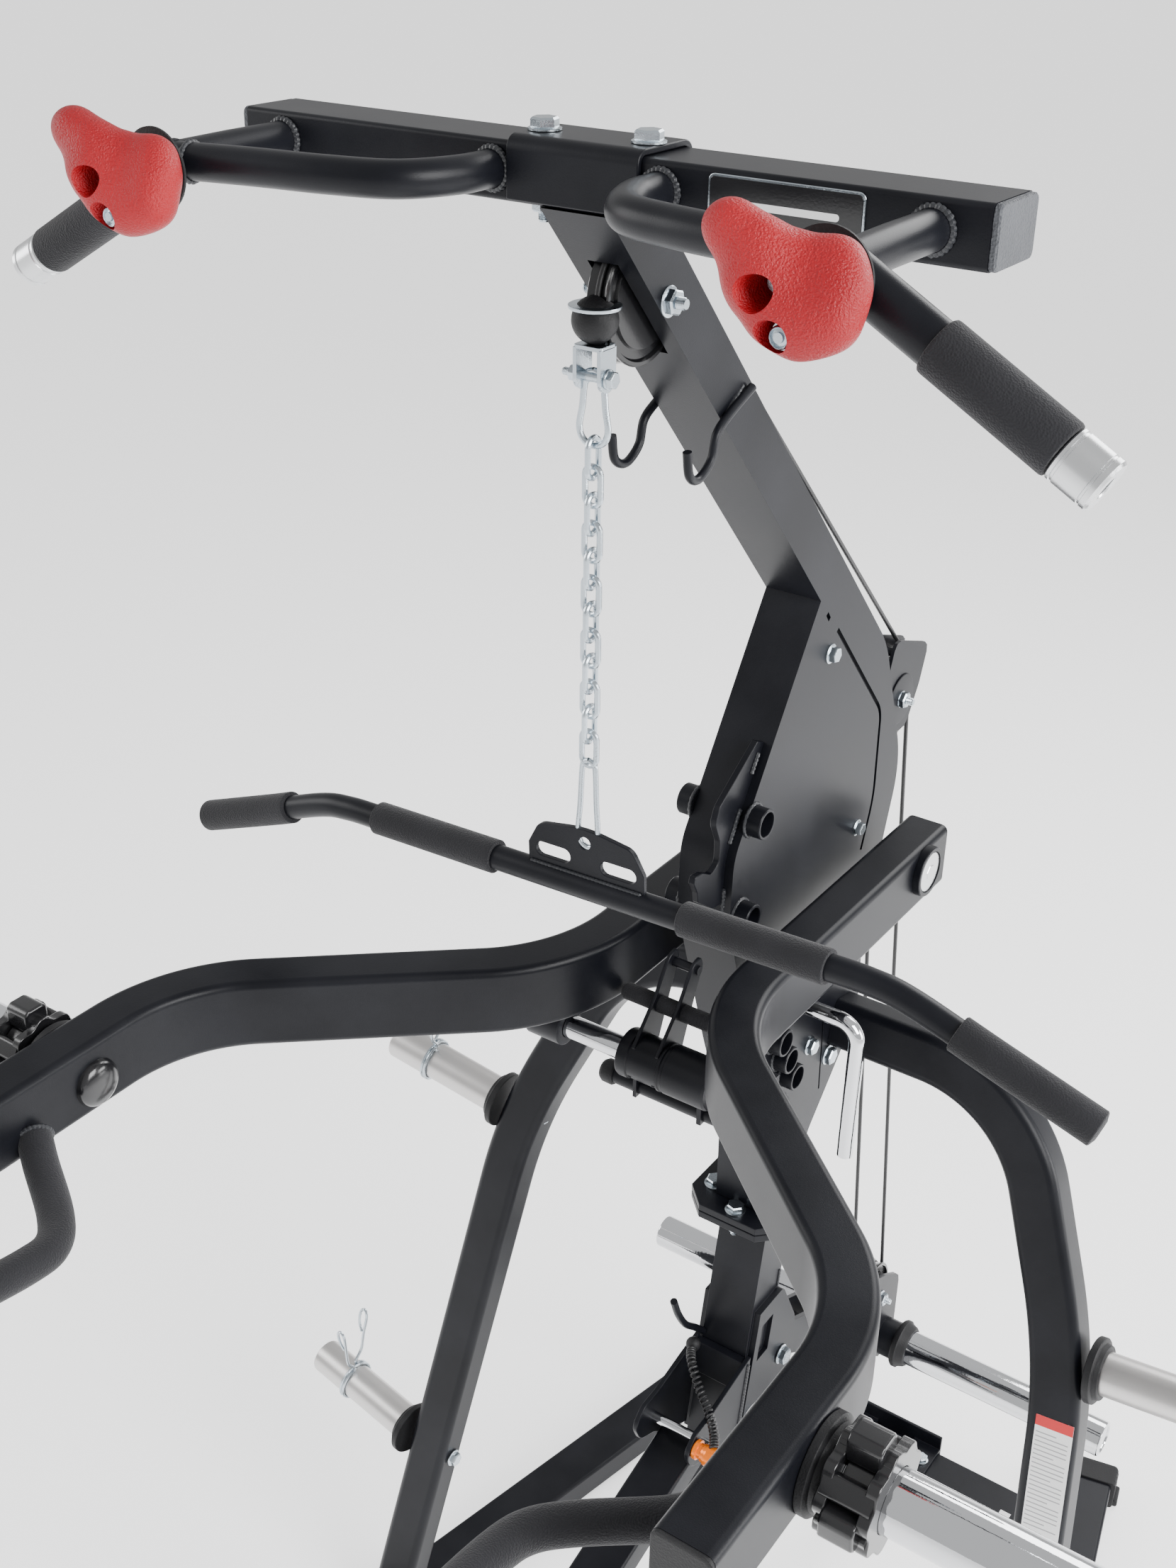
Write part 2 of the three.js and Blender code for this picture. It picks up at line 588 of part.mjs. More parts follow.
// ---------------------------------------------------------------- weight lever
function buildLever() {
  const profile = rounded([
    [LEVER_HINGE.y - 18, LEVER_HINGE.z - 6], [LEVER_HINGE.y - 8, LEVER_HINGE.z + 20],
    [LEVER_HINGE.y + 22, LEVER_HINGE.z + 14], [770, 535], [822, 500], [822, 380], [775, 368], [738, 440],
    [LEVER_HINGE.y + 10, LEVER_HINGE.z - 26],
  ], [8, 8, 30, 25, 12, 10, 20], 2);
  const cheeks = [-1, 1].map((sign) => {
    const x0 = sign > 0 ? 16 : -22;
    return plateX(profile, x0, x0 + 6);
  });
  let lever = join(
    ...cheeks,
    barX(17, -28, 28, LEVER_HINGE.y, LEVER_HINGE.z, 16),
    barX(28, -47, 47, SLEEVE_AXIS.y, SLEEVE_AXIS.z, 16),
    block(-20, 20, 540, 565, 590, 606),
    barX(7.6, -26, 26, LEVER_PULLEY.y, LEVER_PULLEY.z, 12),
  );
  lever = cut(lever, barX(8.4, -60, 60, LEVER_HINGE.y, LEVER_HINGE.z, 16));
  piece('lat_lever', lever, powderCoat);
  for (const { label, sign } of SIDES) {
    const sleeve = join(
      barX(36, 47.4, 55, SLEEVE_AXIS.y, SLEEVE_AXIS.z, 18),
      barX(25, 50, 362, SLEEVE_AXIS.y, SLEEVE_AXIS.z, 18),
    );
    piece(`weight_sleeve_${label}`, sided(sleeve, sign), chrome);
  }
}

// ---------------------------------------------------------------- legs and storage horns
function buildLegs() {
  const tilt = Math.atan(LEG.planeSlope);
  const stretch = 1 / Math.cos(tilt);
  const corners = [[MAST_HALF + FIT, 1138], [262, 1138], [382, 853], [468, 20]];
  const path = rounded(corners.map(([x, z]) => [x, z * stretch]), [170, 700], 6);
  for (const { label, sign } of SIDES) {
    const bar = new THREE.ExtrudeGeometry(outline(ribbon(path, LEG.width)), {
      depth: LEG.depth, bevelEnabled: false,
    });
    bar.translate(0, 0, -LEG.depth / 2);
    bar.rotateX(Math.PI / 2 - tilt);
    bar.translate(0, LEG.planeY, 0);
    const leg = cut(solid(bar), block(300, 600, 100, 400, -60, RAIL.top + FIT));
    piece(`leg_${label}`, sided(leg, sign), powderCoat);
    const { upper, lower } = hornPlaces();
    piece(`storage_horn_upper_${label}`, sided(hornShape(upper), sign), chrome);
    piece(`storage_horn_lower_${label}`, sided(hornShape(lower), sign), chrome);
  }
}

// A storage horn is placed by its flange face and points outwards.
function hornPlaces() {
  const place = (face, yaw, lift, length) => {
    const direction = new THREE.Vector3(
      Math.cos(yaw) * Math.cos(lift), Math.sin(yaw) * Math.cos(lift), Math.sin(lift),
    );
    const from = new THREE.Vector3(...face);
    return { length, at: (d) => from.clone().addScaledVector(direction, d).toArray() };
  };
  return {
    upper: place([421, 444, 860], 0, 0.119, 178),
    lower: place([488, 306, 322], 0.13, 0.06, 186),
  };
}

function hornShape(place) {
  return join(rod(38, place.at(-9), place.at(0), 16), rod(25, place.at(-5), place.at(place.length), 18));
}

// ---------------------------------------------------------------- press arms
function pressArmPath() {
  return rounded([
    [PRESS_ARM.rearX, 584], [PRESS_ARM.rearX, 124], [PRESS_ARM.frontX, -130], [PRESS_ARM.frontX, -400],
  ], [190, 175], 7);
}

function buildPressArms() {
  const bevel = 5;
  const height = PRESS_ARM.top - PRESS_ARM.bottom;
  for (const { label, sign } of SIDES) {
    const bar = new THREE.ExtrudeGeometry(outline(ribbon(pressArmPath(), PRESS_ARM.width)), {
      depth: height - 2 * bevel, bevelEnabled: true, bevelThickness: bevel, bevelSize: bevel,
      bevelOffset: -bevel, bevelSegments: 1,
    });
    bar.translate(0, 0, PRESS_ARM.bottom + bevel);
    const outer = PRESS_ARM.rearX + PRESS_ARM.width / 2;
    const hub = barX(29, outer - 4, outer + 9, PRESS_HINGE.y, PRESS_HINGE.z, 18);
    const shaftBush = barX(22, 103, 145, CROSS_SHAFT.y, CROSS_SHAFT.z, 14);
    const { y, z } = CROSS_SHAFT;
    const bushWeld = block(104, 138, y - 14, y + 12, z, PRESS_ARM.bottom + 4);
    const flange = barX(40, 402, 412, PRESS_HORN.y, PRESS_HORN.z, 18);
    const dome = moved(new THREE.SphereGeometry(24, 12, 6), 360, PRESS_HORN.y, PRESS_HORN.z);
    const arm = join(bar, hub, shaftBush, bushWeld, flange, dome);
    piece(`press_arm_${label}`, sided(arm, sign), powderCoat);

    const { radius, inner: hornStart, outer: hornEnd } = PRESS_HORN;
    const horn = barX(radius, hornStart, hornEnd, PRESS_HORN.y, PRESS_HORN.z, 20);
    piece(`press_horn_${label}`, sided(solid(horn), sign), chrome);

    let jaw = join(
      barX(38, 420, 464, PRESS_HORN.y, PRESS_HORN.z, 14),
      block(426, 458, PRESS_HORN.y - 14, PRESS_HORN.y + 14, PRESS_HORN.z + 28, PRESS_HORN.z + 58),
      block(426, 458, PRESS_HORN.y - 52, PRESS_HORN.y - 28, PRESS_HORN.z - 16, PRESS_HORN.z + 16),
    );
    jaw = cut(jaw, barX(PRESS_HORN.radius + FIT, 414, 480, PRESS_HORN.y, PRESS_HORN.z, 20));
    piece(`horn_collar_${label}`, sided(jaw, sign), nylon);

    const handle = tube([[353, -330, 1336], [330, -344, 1326], [278, -374, 1315], [252, -400, 1314],
      [245, -434, 1319], [245, -500, 1331], [245, -560, 1342]], 16, 12, 10);
    const trimmed = cut(solid(handle), block(353, 400, -380, -280, 1280, 1380));
    piece(`press_handle_${label}`, sided(trimmed, sign), foam);
  }
  const shaft = barX(
    CROSS_SHAFT.radius, -CROSS_SHAFT.halfLength, CROSS_SHAFT.halfLength, CROSS_SHAFT.y, CROSS_SHAFT.z, 14,
  );
  piece('cross_shaft', shaft, chrome);
}

// The latch swings on the cross shaft and hooks the arms to the mast's catch plates.
function buildLatch() {
  const { y, z } = CROSS_SHAFT;
  const profile = [
    [y - 22, z - 14], [y + 20, z - 20], [y + 32, z + 10], [y + 46, z + 46], [y + 64, z + 88],
    [y + 60, z + 99], [y + 46, z + 97], [y + 22, z + 60], [y - 16, z + 20],
  ];
  const cheeks = [-1, 1].map((sign) => {
    const x0 = sign > 0 ? 12 : -16;
    return plateX(profile, x0, x0 + 4);
  });
  let latch = join(
    barX(26, -31, 74, y, z, 16),
    ...cheeks,
    barX(5, -18, 18, y + 54, z + 86, 8),
    barX(8, -50, 50, y + 31, z + 47, 10),
    barX(8, -46, 92, y + 2, z - 37, 10),
    barX(12, -60, -44, y + 2, z - 37, 10),
    block(-16, -12, y - 12, y + 14, z - 46, z - 8),
    block(60, 66, y - 12, y + 14, z - 46, z - 8),
  );
  latch = cut(latch, barX(CROSS_SHAFT.radius + 0.5, -90, 90, y, z, 14));
  piece('latch_yoke', latch, powderCoat);
}

// ---------------------------------------------------------------- pins and docking bracket
function buildPins() {
  const { y, z, reach, drop } = STOP_PIN;
  const leg = rod(9, [reach - 9, y, z + 8], [reach - 9, y - 4, z - drop], 12);
  const pin = join(barX(9, -26, reach, y, z, 12), leg);
  piece('arm_stop_pin', pin, chrome);
}

function buildDocking() {
  const reach = 330;
  const cheek = [
    [columnFront(744) - FIT, 744], [296, 736], [246, 725], [214, 724], [196, 713], [194, 694],
    [206, 676], [236, 662], [262, 640], [columnFront(612) - FIT, 612],
  ];
  const cheeks = [-1, 1].map((sign) => {
    const x0 = sign > 0 ? 33 : -39;
    return plateX(cheek, x0, x0 + 6);
  });
  const webFront = columnFront(740) - 8;
  let bracket = join(
    ...cheeks,
    plateX([
      [webFront - 4, 740], [columnFront(740) - FIT, 740], [columnFront(700) - FIT, 700],
      [columnFront(700) - 12, 700],
    ], -34, 34),
    barX(6, -45, 45, DOCK_PIVOT.y, DOCK_PIVOT.z, 12),
  );
  bracket = cut(bracket, barX(5.6, 30, 60, DOCK_PIN.y, DOCK_PIN.z, 14));
  piece('docking_bracket', bracket, powderCoat);

  const slope = THREE.MathUtils.degToRad(16.3);
  const rail = new THREE.Group();
  rail.position.set(0, 250, 673);
  rail.rotation.x = slope;
  machine.add(rail);
  const railEnd = block(-29, 29, -reach - 9, -reach + 12, -39, 1);
  const railBody = join(block(-28, 28, -reach, 0, -38, 0), railEnd);
  piece('docking_rail', railBody, powderCoat, rail);

  const pop = join(
    barX(5, 33, 70, DOCK_PIN.y, DOCK_PIN.z, 14),
    barX(10, 41, 58, DOCK_PIN.y, DOCK_PIN.z, 6),
    barX(13, 56, 79, DOCK_PIN.y, DOCK_PIN.z, 16),
  );
  piece('pop_pin', pop, anodised);
}

buildBase();
buildColumn();
buildMast();
buildBeam();
buildPulleys();
buildCable();
buildLatLine();
buildLever();
buildLegs();
buildPressArms();
buildLatch();
buildPins();
buildDocking();

// The origin sits on the floor, below the middle of the overall depth.
const extent = new THREE.Box3().setFromObject(machine);
machine.position.y = -(extent.min.y + extent.max.y) / 2;
const trainer = new THREE.Group();
trainer.add(machine);
trainer.updateMatrixWorld(true);

export default trainer;
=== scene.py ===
"""A home functional trainer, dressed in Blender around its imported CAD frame."""
import json
import math

import bmesh
import bpy
from mathutils import Matrix, Vector, noise


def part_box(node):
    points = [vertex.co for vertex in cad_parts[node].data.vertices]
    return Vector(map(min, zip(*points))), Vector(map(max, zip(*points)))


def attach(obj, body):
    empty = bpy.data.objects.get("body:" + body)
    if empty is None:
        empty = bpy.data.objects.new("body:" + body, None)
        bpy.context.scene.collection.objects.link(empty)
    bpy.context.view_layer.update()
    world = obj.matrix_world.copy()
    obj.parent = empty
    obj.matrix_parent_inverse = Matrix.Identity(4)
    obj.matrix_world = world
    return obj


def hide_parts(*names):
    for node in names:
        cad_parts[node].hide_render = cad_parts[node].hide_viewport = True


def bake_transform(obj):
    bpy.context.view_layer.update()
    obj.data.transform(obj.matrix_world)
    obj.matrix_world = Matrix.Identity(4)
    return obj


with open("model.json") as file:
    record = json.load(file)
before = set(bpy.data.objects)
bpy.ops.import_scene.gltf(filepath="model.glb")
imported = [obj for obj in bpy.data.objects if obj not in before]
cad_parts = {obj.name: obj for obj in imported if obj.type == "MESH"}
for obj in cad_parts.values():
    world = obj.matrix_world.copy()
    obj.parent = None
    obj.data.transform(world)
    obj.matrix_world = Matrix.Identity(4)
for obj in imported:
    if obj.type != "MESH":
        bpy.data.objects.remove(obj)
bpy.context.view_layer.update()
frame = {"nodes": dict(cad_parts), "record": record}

# Lengths below are millimetres in the machine's own axes, where the pull-up beam's front face is y = 0.
BEAM_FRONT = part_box("cross_beam")[0].y
SIDES = (("left", -1), ("right", 1))
BOTH = (-1, 1)
RIGHT, REAR, UP = (1, 0, 0), (0, 1, 0), (0, 0, 1)
MM_PER_M = 1000

# Centres in a side view, as (y, z).
UPPER_PULLEY, REAR_PULLEY, LEVER_PULLEY = (84, 2062), (628, 1508), (760, 500)
PRESS_HINGE, CROSS_SHAFT, PRESS_HORN = (528, 1363), (150, 1284), (-254, 1350)
BEAM_MID = (31, 2160)
# The lat line hangs in this plane, and the lat cable's two runs meet at the fork behind the mast.
LAT_Y = 29
CABLE_FORK = (0, 740, 1000)
CABLE_RADIUS = 2.5
HORN_RADIUS = 25
# The legs lean back by this much for each millimetre of height.
LEG_LEAN = 0.257

COAT = "powder_coat"
CLOUDS_PER_M = 9
# Degrees: edges sharper than this are bevelled, and bevelled pieces are shaded smooth below the other.
BEVEL_ANGLE, BEVELLED_SMOOTH = 32, 50


def at(x, y, z):
    """A place in the machine's axes, in the row frame's metres."""
    return Vector((x / MM_PER_M, y / MM_PER_M + BEAM_FRONT, z / MM_PER_M))


# ------------------------------------------------------------------ materials
def fill(node, values):
    for socket, value in values.items():
        node.inputs[socket].default_value = value


def shader(name, color, rough, metal, grain, grain_size, cloud=0.0, rough_spread=0.0, coat=0.0, sheen=0.0,
           voronoi=False, second=None, specular=0.5, depth=0.7):
    """A procedural finish: fine grain as bump, soft clouds of colour and roughness."""
    mat = bpy.data.materials.new(name)
    mat.use_nodes = True
    tree = mat.node_tree
    link = tree.links.new
    bsdf = tree.nodes["Principled BSDF"]
    fill(bsdf, {"Base Color": (*color, 1), "Roughness": rough, "Metallic": metal,
                "Specular IOR Level": specular, "Coat Weight": coat, "Coat Roughness": 0.25,
                "Sheen Weight": sheen})
    coords = tree.nodes.new("ShaderNodeTexCoord").outputs["Object"]
    fine = tree.nodes.new("ShaderNodeTexVoronoi" if voronoi else "ShaderNodeTexNoise")
    fill(fine, {"Scale": MM_PER_M / grain_size})
    link(coords, fine.inputs["Vector"])
    bump = tree.nodes.new("ShaderNodeBump")
    fill(bump, {"Strength": grain, "Distance": grain_size / MM_PER_M * depth})
    link(fine.outputs["Distance" if voronoi else "Fac"], bump.inputs["Height"])
    link(bump.outputs["Normal"], bsdf.inputs["Normal"])
    broad = tree.nodes.new("ShaderNodeTexNoise")
    fill(broad, {"Scale": CLOUDS_PER_M, "Detail": 6})
    link(coords, broad.inputs["Vector"])
    ramp = tree.nodes.new("ShaderNodeValToRGB")
    other = second or tuple(min(1, c * (1 + cloud) + cloud * 0.01) for c in color)
    for stop, place, tint in zip(ramp.color_ramp.elements, (0.35, 0.7), (color, other)):
        stop.position = place
        stop.color = (*tint, 1)
    link(broad.outputs["Fac"], ramp.inputs["Fac"])
    link(ramp.outputs["Color"], bsdf.inputs["Base Color"])
    if rough_spread:
        spread = tree.nodes.new("ShaderNodeMapRange")
        fill(spread, {"To Min": max(0.02, rough - rough_spread), "To Max": rough + rough_spread})
        link(broad.outputs["Fac"], spread.inputs["Value"])
        link(spread.outputs["Result"], bsdf.inputs["Roughness"])
    return mat


FINISH = {
    "powder_coat": shader("powder_coat", (0.003, 0.0034, 0.0056), 0.37, 0.0, 0.12, 1.1, 0.5, 0.06,
                          specular=0.2),
    "chrome": shader("chrome", (0.66, 0.67, 0.69), 0.06, 1.0, 0.015, 4.0, 0.04, 0.025),
    "zinc": shader("zinc", (0.45, 0.5, 0.54), 0.25, 1.0, 0.12, 1.5, 0.25, 0.1),
    "rubber": shader("rubber", (0.006, 0.006, 0.007), 0.55, 0.0, 0.3, 1.6, 0.6, 0.1, specular=0.3),
    "foam_grip": shader("foam_grip", (0.008, 0.008, 0.010), 0.86, 0.0, 0.5, 1.5, 0.6, 0.06, sheen=0.12,
                        voronoi=True, specular=0.3),
    "brushed_aluminium": shader("brushed_aluminium", (0.66, 0.67, 0.68), 0.26, 1.0, 0.08, 0.7, 0.08, 0.06),
    "hold_resin": shader("hold_resin", (0.3, 0.003, 0.008), 0.42, 0.0, 0.85, 1.5, 0.5, 0.12,
                         second=(0.4, 0.01, 0.016), specular=0.35, depth=1.1),
    "nylon": shader("nylon", (0.006, 0.006, 0.007), 0.2, 0.0, 0.04, 2.0, 0.4, 0.07, coat=0.3),
    "cable_sheath": shader("cable_sheath", (0.01, 0.01, 0.011), 0.4, 0.0, 0.3, 1.0, 0.4, 0.08),
    "anodised": shader("anodised", (0.9, 0.19, 0.004), 0.22, 0.35, 0.05, 1.0, 0.15, 0.05),
}
TRIM = {
    "label_white": shader("label_white", (0.8, 0.8, 0.8), 0.45, 0, 0.04, 2.0, 0.03),
    "label_red": shader("label_red", (0.55, 0.012, 0.015), 0.45, 0, 0.04, 2.0, 0.08),
    "satin": shader("satin", (0.56, 0.545, 0.535), 0.36, 1.0, 0.1, 1.6, 0.1, 0.06),
    "label_grey": shader("label_grey", (0.3, 0.3, 0.31), 0.5, 0, 0.04, 2.0, 0.08),
    "beam_face": shader("beam_face", (0.05, 0.053, 0.06), 0.65, 0, 0.8, 2.0, 0.6, 0.1, voronoi=True),
    "weld": shader("weld", (0.012, 0.013, 0.016), 0.4, 0, 0.35, 2.0, 0.5, 0.1),
}


# ------------------------------------------------------------------ making pieces
def rework(mesh, *steps):
    """Runs bmesh steps on a mesh."""
    tidy = bmesh.new()
    tidy.from_mesh(mesh)
    for step in steps:
        step(tidy)
    tidy.to_mesh(mesh)
    tidy.free()


def weld_points(tidy, distance=1e-6):
    bmesh.ops.remove_doubles(tidy, verts=tidy.verts, dist=distance)


def face_outward(tidy):
    bmesh.ops.recalc_face_normals(tidy, faces=tidy.faces)


def drop_flat_edges(tidy):
    weld_points(tidy, 1e-5)
    bmesh.ops.dissolve_limit(tidy, angle_limit=math.radians(1.2), verts=tidy.verts, edges=tidy.edges)


def new_object(name, data):
    obj = bpy.data.objects.new(name, data)
    bpy.context.collection.objects.link(obj)
    return obj


def mesh_object(name, verts, faces):
    """An object from millimetre points."""
    mesh = bpy.data.meshes.new(name)
    mesh.from_pydata([at(*v) for v in verts], [], faces)
    return new_object(name, mesh)


def piece(name, verts, faces, slot, body, hide=(), **how):
    """A piece that rides on a body and may stand for CAD nodes."""
    return finish_piece(mesh_object(name, verts, faces), slot, body, hide, **how)


def sided(name, label, shape, slot, body, hide=None, **how):
    """A piece drawn for the right side; hide names the CAD node it stands for, without its side."""
    nodes = [f"{hide}_{label}"] if hide else []
    return piece(f"{name}_{label}", *mirrored(shape, dict(SIDES)[label]), slot, body, nodes, **how)


def finish_piece(obj, slot, body, hide=(), smooth=35, bevel=0.0, steps=2, look=None):
    mesh = obj.data
    rework(mesh, weld_points, face_outward)
    mesh.materials.clear()
    mesh.materials.append(look or FINISH[slot])
    if bevel:
        edge = obj.modifiers.new("edges", "BEVEL")
        edge.width = bevel / MM_PER_M
        edge.segments = steps
        edge.limit_method = "ANGLE"
        edge.angle_limit = math.radians(BEVEL_ANGLE)
    mesh.shade_smooth()
    mesh.set_sharp_from_angle(angle=math.radians(BEVELLED_SMOOTH if bevel else smooth))
    even = obj.modifiers.new("shading", "WEIGHTED_NORMAL")
    even.keep_sharp = True
    even.weight = 90
    if body:
        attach(obj, body)
    if hide:
        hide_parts(*hide)
    return obj


def frames_along(points, up=None):
    """Side and up vectors at each point of a path."""
    pts = [Vector(p) for p in points]
    tangents = []
    for i in range(len(pts)):
        a = pts[max(i - 1, 0)]
        b = pts[min(i + 1, len(pts) - 1)]
        tangents.append((b - a).normalized())
    if up is not None:
        fixed = Vector(up).normalized()
        return pts, [(t.cross(fixed).normalized(), fixed) for t in tangents]
    side = tangents[0].orthogonal().normalized()
    result = []
    for t in tangents:
        side = (side - t * side.dot(t)).normalized()
        result.append((side, t.cross(side)))
    return pts, result


def sweep(points, section, up=None, caps=True, scales=None):
    """Vertices and faces of a section carried along a path."""
    pts, axes = frames_along(points, up)
    n = len(section)
    verts = []
    for i, (p, (side, rise)) in enumerate(zip(pts, axes)):
        k = scales[i] if scales else 1.0
        verts += [p + side * a * k + rise * b * k for a, b in section]
    faces = []
    for i in range(len(pts) - 1):
        for j in range(n):
            q = (j + 1) % n
            faces.append((i * n + j, i * n + q, (i + 1) * n + q, (i + 1) * n + j))
    if caps:
        faces.append(tuple(range(n - 1, -1, -1)))
        last = (len(pts) - 1) * n
        faces.append(tuple(range(last, last + n)))
    return verts, faces


def ring(radius, count=24):
    return [(radius * math.cos(2 * math.pi * k / count), radius * math.sin(2 * math.pi * k / count))
            for k in range(count)]


def rounded_rect(width, height, radius, count=4):
    points = []
    for cx, cy, start in ((1, 1, 0), (-1, 1, 90), (-1, -1, 180), (1, -1, 270)):
        for k in range(count + 1):
            a = math.radians(start + 90 * k / count)
            points.append((cx * (width / 2 - radius) + radius * math.cos(a),
                           cy * (height / 2 - radius) + radius * math.sin(a)))
    return points


def basis(direction):
    """A unit axis and two unit vectors across it."""
    axis = Vector(direction).normalized()
    side = axis.orthogonal().normalized()
    return axis, side, axis.cross(side)


def lathe(profile, origin, direction, count=40):
    """A turned piece: (distance along the axis, radius) pairs; radius 0 closes an end."""
    axis, side, rise = basis(direction)
    base = Vector(origin)
    verts, rows = [], []
    for along, radius in profile:
        if radius < 1e-6:
            rows.append([len(verts)])
            verts.append(base + axis * along)
            continue
        row = []
        for k in range(count):
            a = 2 * math.pi * k / count
            row.append(len(verts))
            verts.append(base + axis * along + (side * math.cos(a) + rise * math.sin(a)) * radius)
        rows.append(row)
    faces = []
    for one, two in zip(rows, rows[1:]):
        for k in range(count):
            q = (k + 1) % count
            if len(one) == 1 and len(two) == 1:
                continue
            if len(one) == 1:
                faces.append((one[0], two[q], two[k]))
            elif len(two) == 1:
                faces.append((one[k], one[q], two[0]))
            else:
                faces.append((one[k], one[q], two[q], two[k]))
    return verts, faces


def bar(start, end, radius, origin, direction, count):
    """A plain round bar, for shafts and for drilling."""
    return lathe([(start, 0), (start, radius), (end, radius), (end, 0)], origin, direction, count)


def loop_faces(rows, around):
    """The faces of a tube that closes on itself."""
    return [(i * around + j, (i + 1) % rows * around + j, (i + 1) % rows * around + (j + 1) % around,
             i * around + (j + 1) % around) for i in range(rows) for j in range(around)]


def merge(*shapes):
    """Several shapes as one."""
    verts, faces = [], []
    for v, f in shapes:
        shift = len(verts)
        verts += list(v)
        faces += [tuple(i + shift for i in face) for face in f]
    return verts, faces


def prism(points, lift, low, high):
    """A flat outline of (u, v) points given thickness; lift turns (u, v, w) into a place."""
    n = len(points)
    verts = [lift(u, v, low) for u, v in points] + [lift(u, v, high) for u, v in points]
    faces = [tuple(range(n - 1, -1, -1)), tuple(range(n, 2 * n))]
    faces += [(i, (i + 1) % n, n + (i + 1) % n, n + i) for i in range(n)]
    return verts, faces


def plate_x(points, x0, x1):
    return prism(points, lambda y, z, x: (x, y, z), x0, x1)


def plate_y(points, y0, y1):
    return prism(points, lambda x, z, y: (x, y, z), y0, y1)


def plate_z(points, z0, z1):
    return prism(points, lambda x, y, z: (x, y, z), z0, z1)


def plate_side(points, s, near, far):
    """A plate from near to far out on side s."""
    return plate_x(points, *sorted((s * near, s * far)))


def plate_pair(points, near, far):
    return [plate_side(points, s, near, far) for s in BOTH]


def box_shape(x0, x1, y0, y1, z0, z1):
    return plate_z([(x0, y0), (x1, y0), (x1, y1), (x0, y1)], z0, z1)


def rounded(corners, radii, steps=14):
    """A polyline in a plane whose inner corners are arcs."""
    points = [Vector(corners[0])]
    for i in range(1, len(corners) - 1):
        here = Vector(corners[i])
        back = (Vector(corners[i - 1]) - here).normalized()
        ahead = (Vector(corners[i + 1]) - here).normalized()
        half = math.acos(max(-1, min(1, back.dot(ahead)))) / 2
        radius = radii[i - 1]
        reach = radius / math.tan(half)
        start = here + back * reach
        end = here + ahead * reach
        centre = here + (back + ahead).normalized() * radius / math.sin(half)
        a0 = math.atan2(start.y - centre.y, start.x - centre.x)
        a1 = math.atan2(end.y - centre.y, end.x - centre.x)
        turn = (a1 - a0 + math.pi) % (2 * math.pi) - math.pi
        for k in range(steps + 1):
            a = a0 + turn * k / steps
            points.append(Vector((centre.x + radius * math.cos(a), centre.y + radius * math.sin(a))))
    points.append(Vector(corners[-1]))
    return points


def smooth_path(points, steps=10):
    """A Catmull-Rom curve through the points."""
    pts = [Vector(p) for p in points]
    ends = [pts[0] * 2 - pts[1]] + pts + [pts[-1] * 2 - pts[-2]]
    curve = []
    for i in range(1, len(ends) - 2):
        a, b, c, d = ends[i - 1:i + 3]
        for k in range(steps):
            t = k / steps
            curve.append(0.5 * ((2 * b) + (c - a) * t + (2 * a - 5 * b + 4 * c - d) * t * t
                                + (3 * b - a - 3 * c + d) * t ** 3))
    curve.append(pts[-1])
    return curve


def mirrored(shape, sign):
    """The shape on its own side, or on the left one when the sign is negative."""
    if sign > 0:
        return shape
    verts, faces = shape
    return [(-v[0], v[1], v[2]) for v in verts], [tuple(reversed(f)) for f in faces]


def carve(obj, shapes):
    """Cuts solids out of an object and keeps the result as its mesh."""
    cutters = [mesh_object("cutter", *shape) for shape in shapes]
    for tool in cutters:
        rework(tool.data, face_outward)
        cut = obj.modifiers.new("cut", "BOOLEAN")
        cut.operation = "DIFFERENCE"
        cut.solver = "EXACT"
        cut.object = tool
    bpy.context.view_layer.update()
    graph = bpy.context.evaluated_depsgraph_get()
    result = bpy.data.meshes.new_from_object(obj.evaluated_get(graph))
    obj.modifiers.clear()
    obj.data = result
    for tool in cutters:
        bpy.data.objects.remove(tool, do_unlink=True)


def carved(name, shape, cuts, slot, body, hide=(), bevel=1.2, steps=2):
    """A piece with solids cut out of it."""
    obj = mesh_object(name, *shape)
    rework(obj.data, weld_points, face_outward)
    carve(obj, cuts)
    return finish_piece(obj, slot, body, hide, bevel=bevel, steps=steps)


def soften(node, width, steps=2):
    """A CAD node's own shape with rounded edges."""
    mesh = frame["nodes"][node].data.copy()
    rework(mesh, drop_flat_edges)
    record = frame["record"]
    body = next(b for b, nodes in record["behaviour"]["bodies"].items() if node in nodes)
    slot = next(s["material_slot"] for s in record["subparts"] if s["node"] == node)
    return finish_piece(new_object(f"{node}_shape", mesh), slot, body, [node], bevel=width, steps=steps)


# ------------------------------------------------------------------ small hardware
def hex_head(origin, direction, across=17, height=8, washer=22):
    """A flanged hex head with chamfered corners."""
    axis, side, rise = basis(direction)
    base = Vector(origin)
    radius = across / 2 / math.cos(math.pi / 6)

    def level(along, k):
        return [base + axis * along + (side * math.cos(a) + rise * math.sin(a)) * radius * k
                for a in [math.pi / 3 * i for i in range(6)]]

    verts = level(1, 1) + level(height - 1.5, 1) + level(height, 0.86)
    faces = [tuple(range(5, -1, -1)), tuple(range(12, 18))]
    for row in range(2):
        for k in range(6):
            q = (k + 1) % 6
            faces.append((row * 6 + k, row * 6 + q, row * 6 + 6 + q, row * 6 + 6 + k))
    rim = washer / 2
    flange = lathe([(0, 0), (0, rim), (1.2, rim), (2.6, rim - 3), (2.6, 0)], origin, direction, 28)
    return merge((verts, faces), flange)


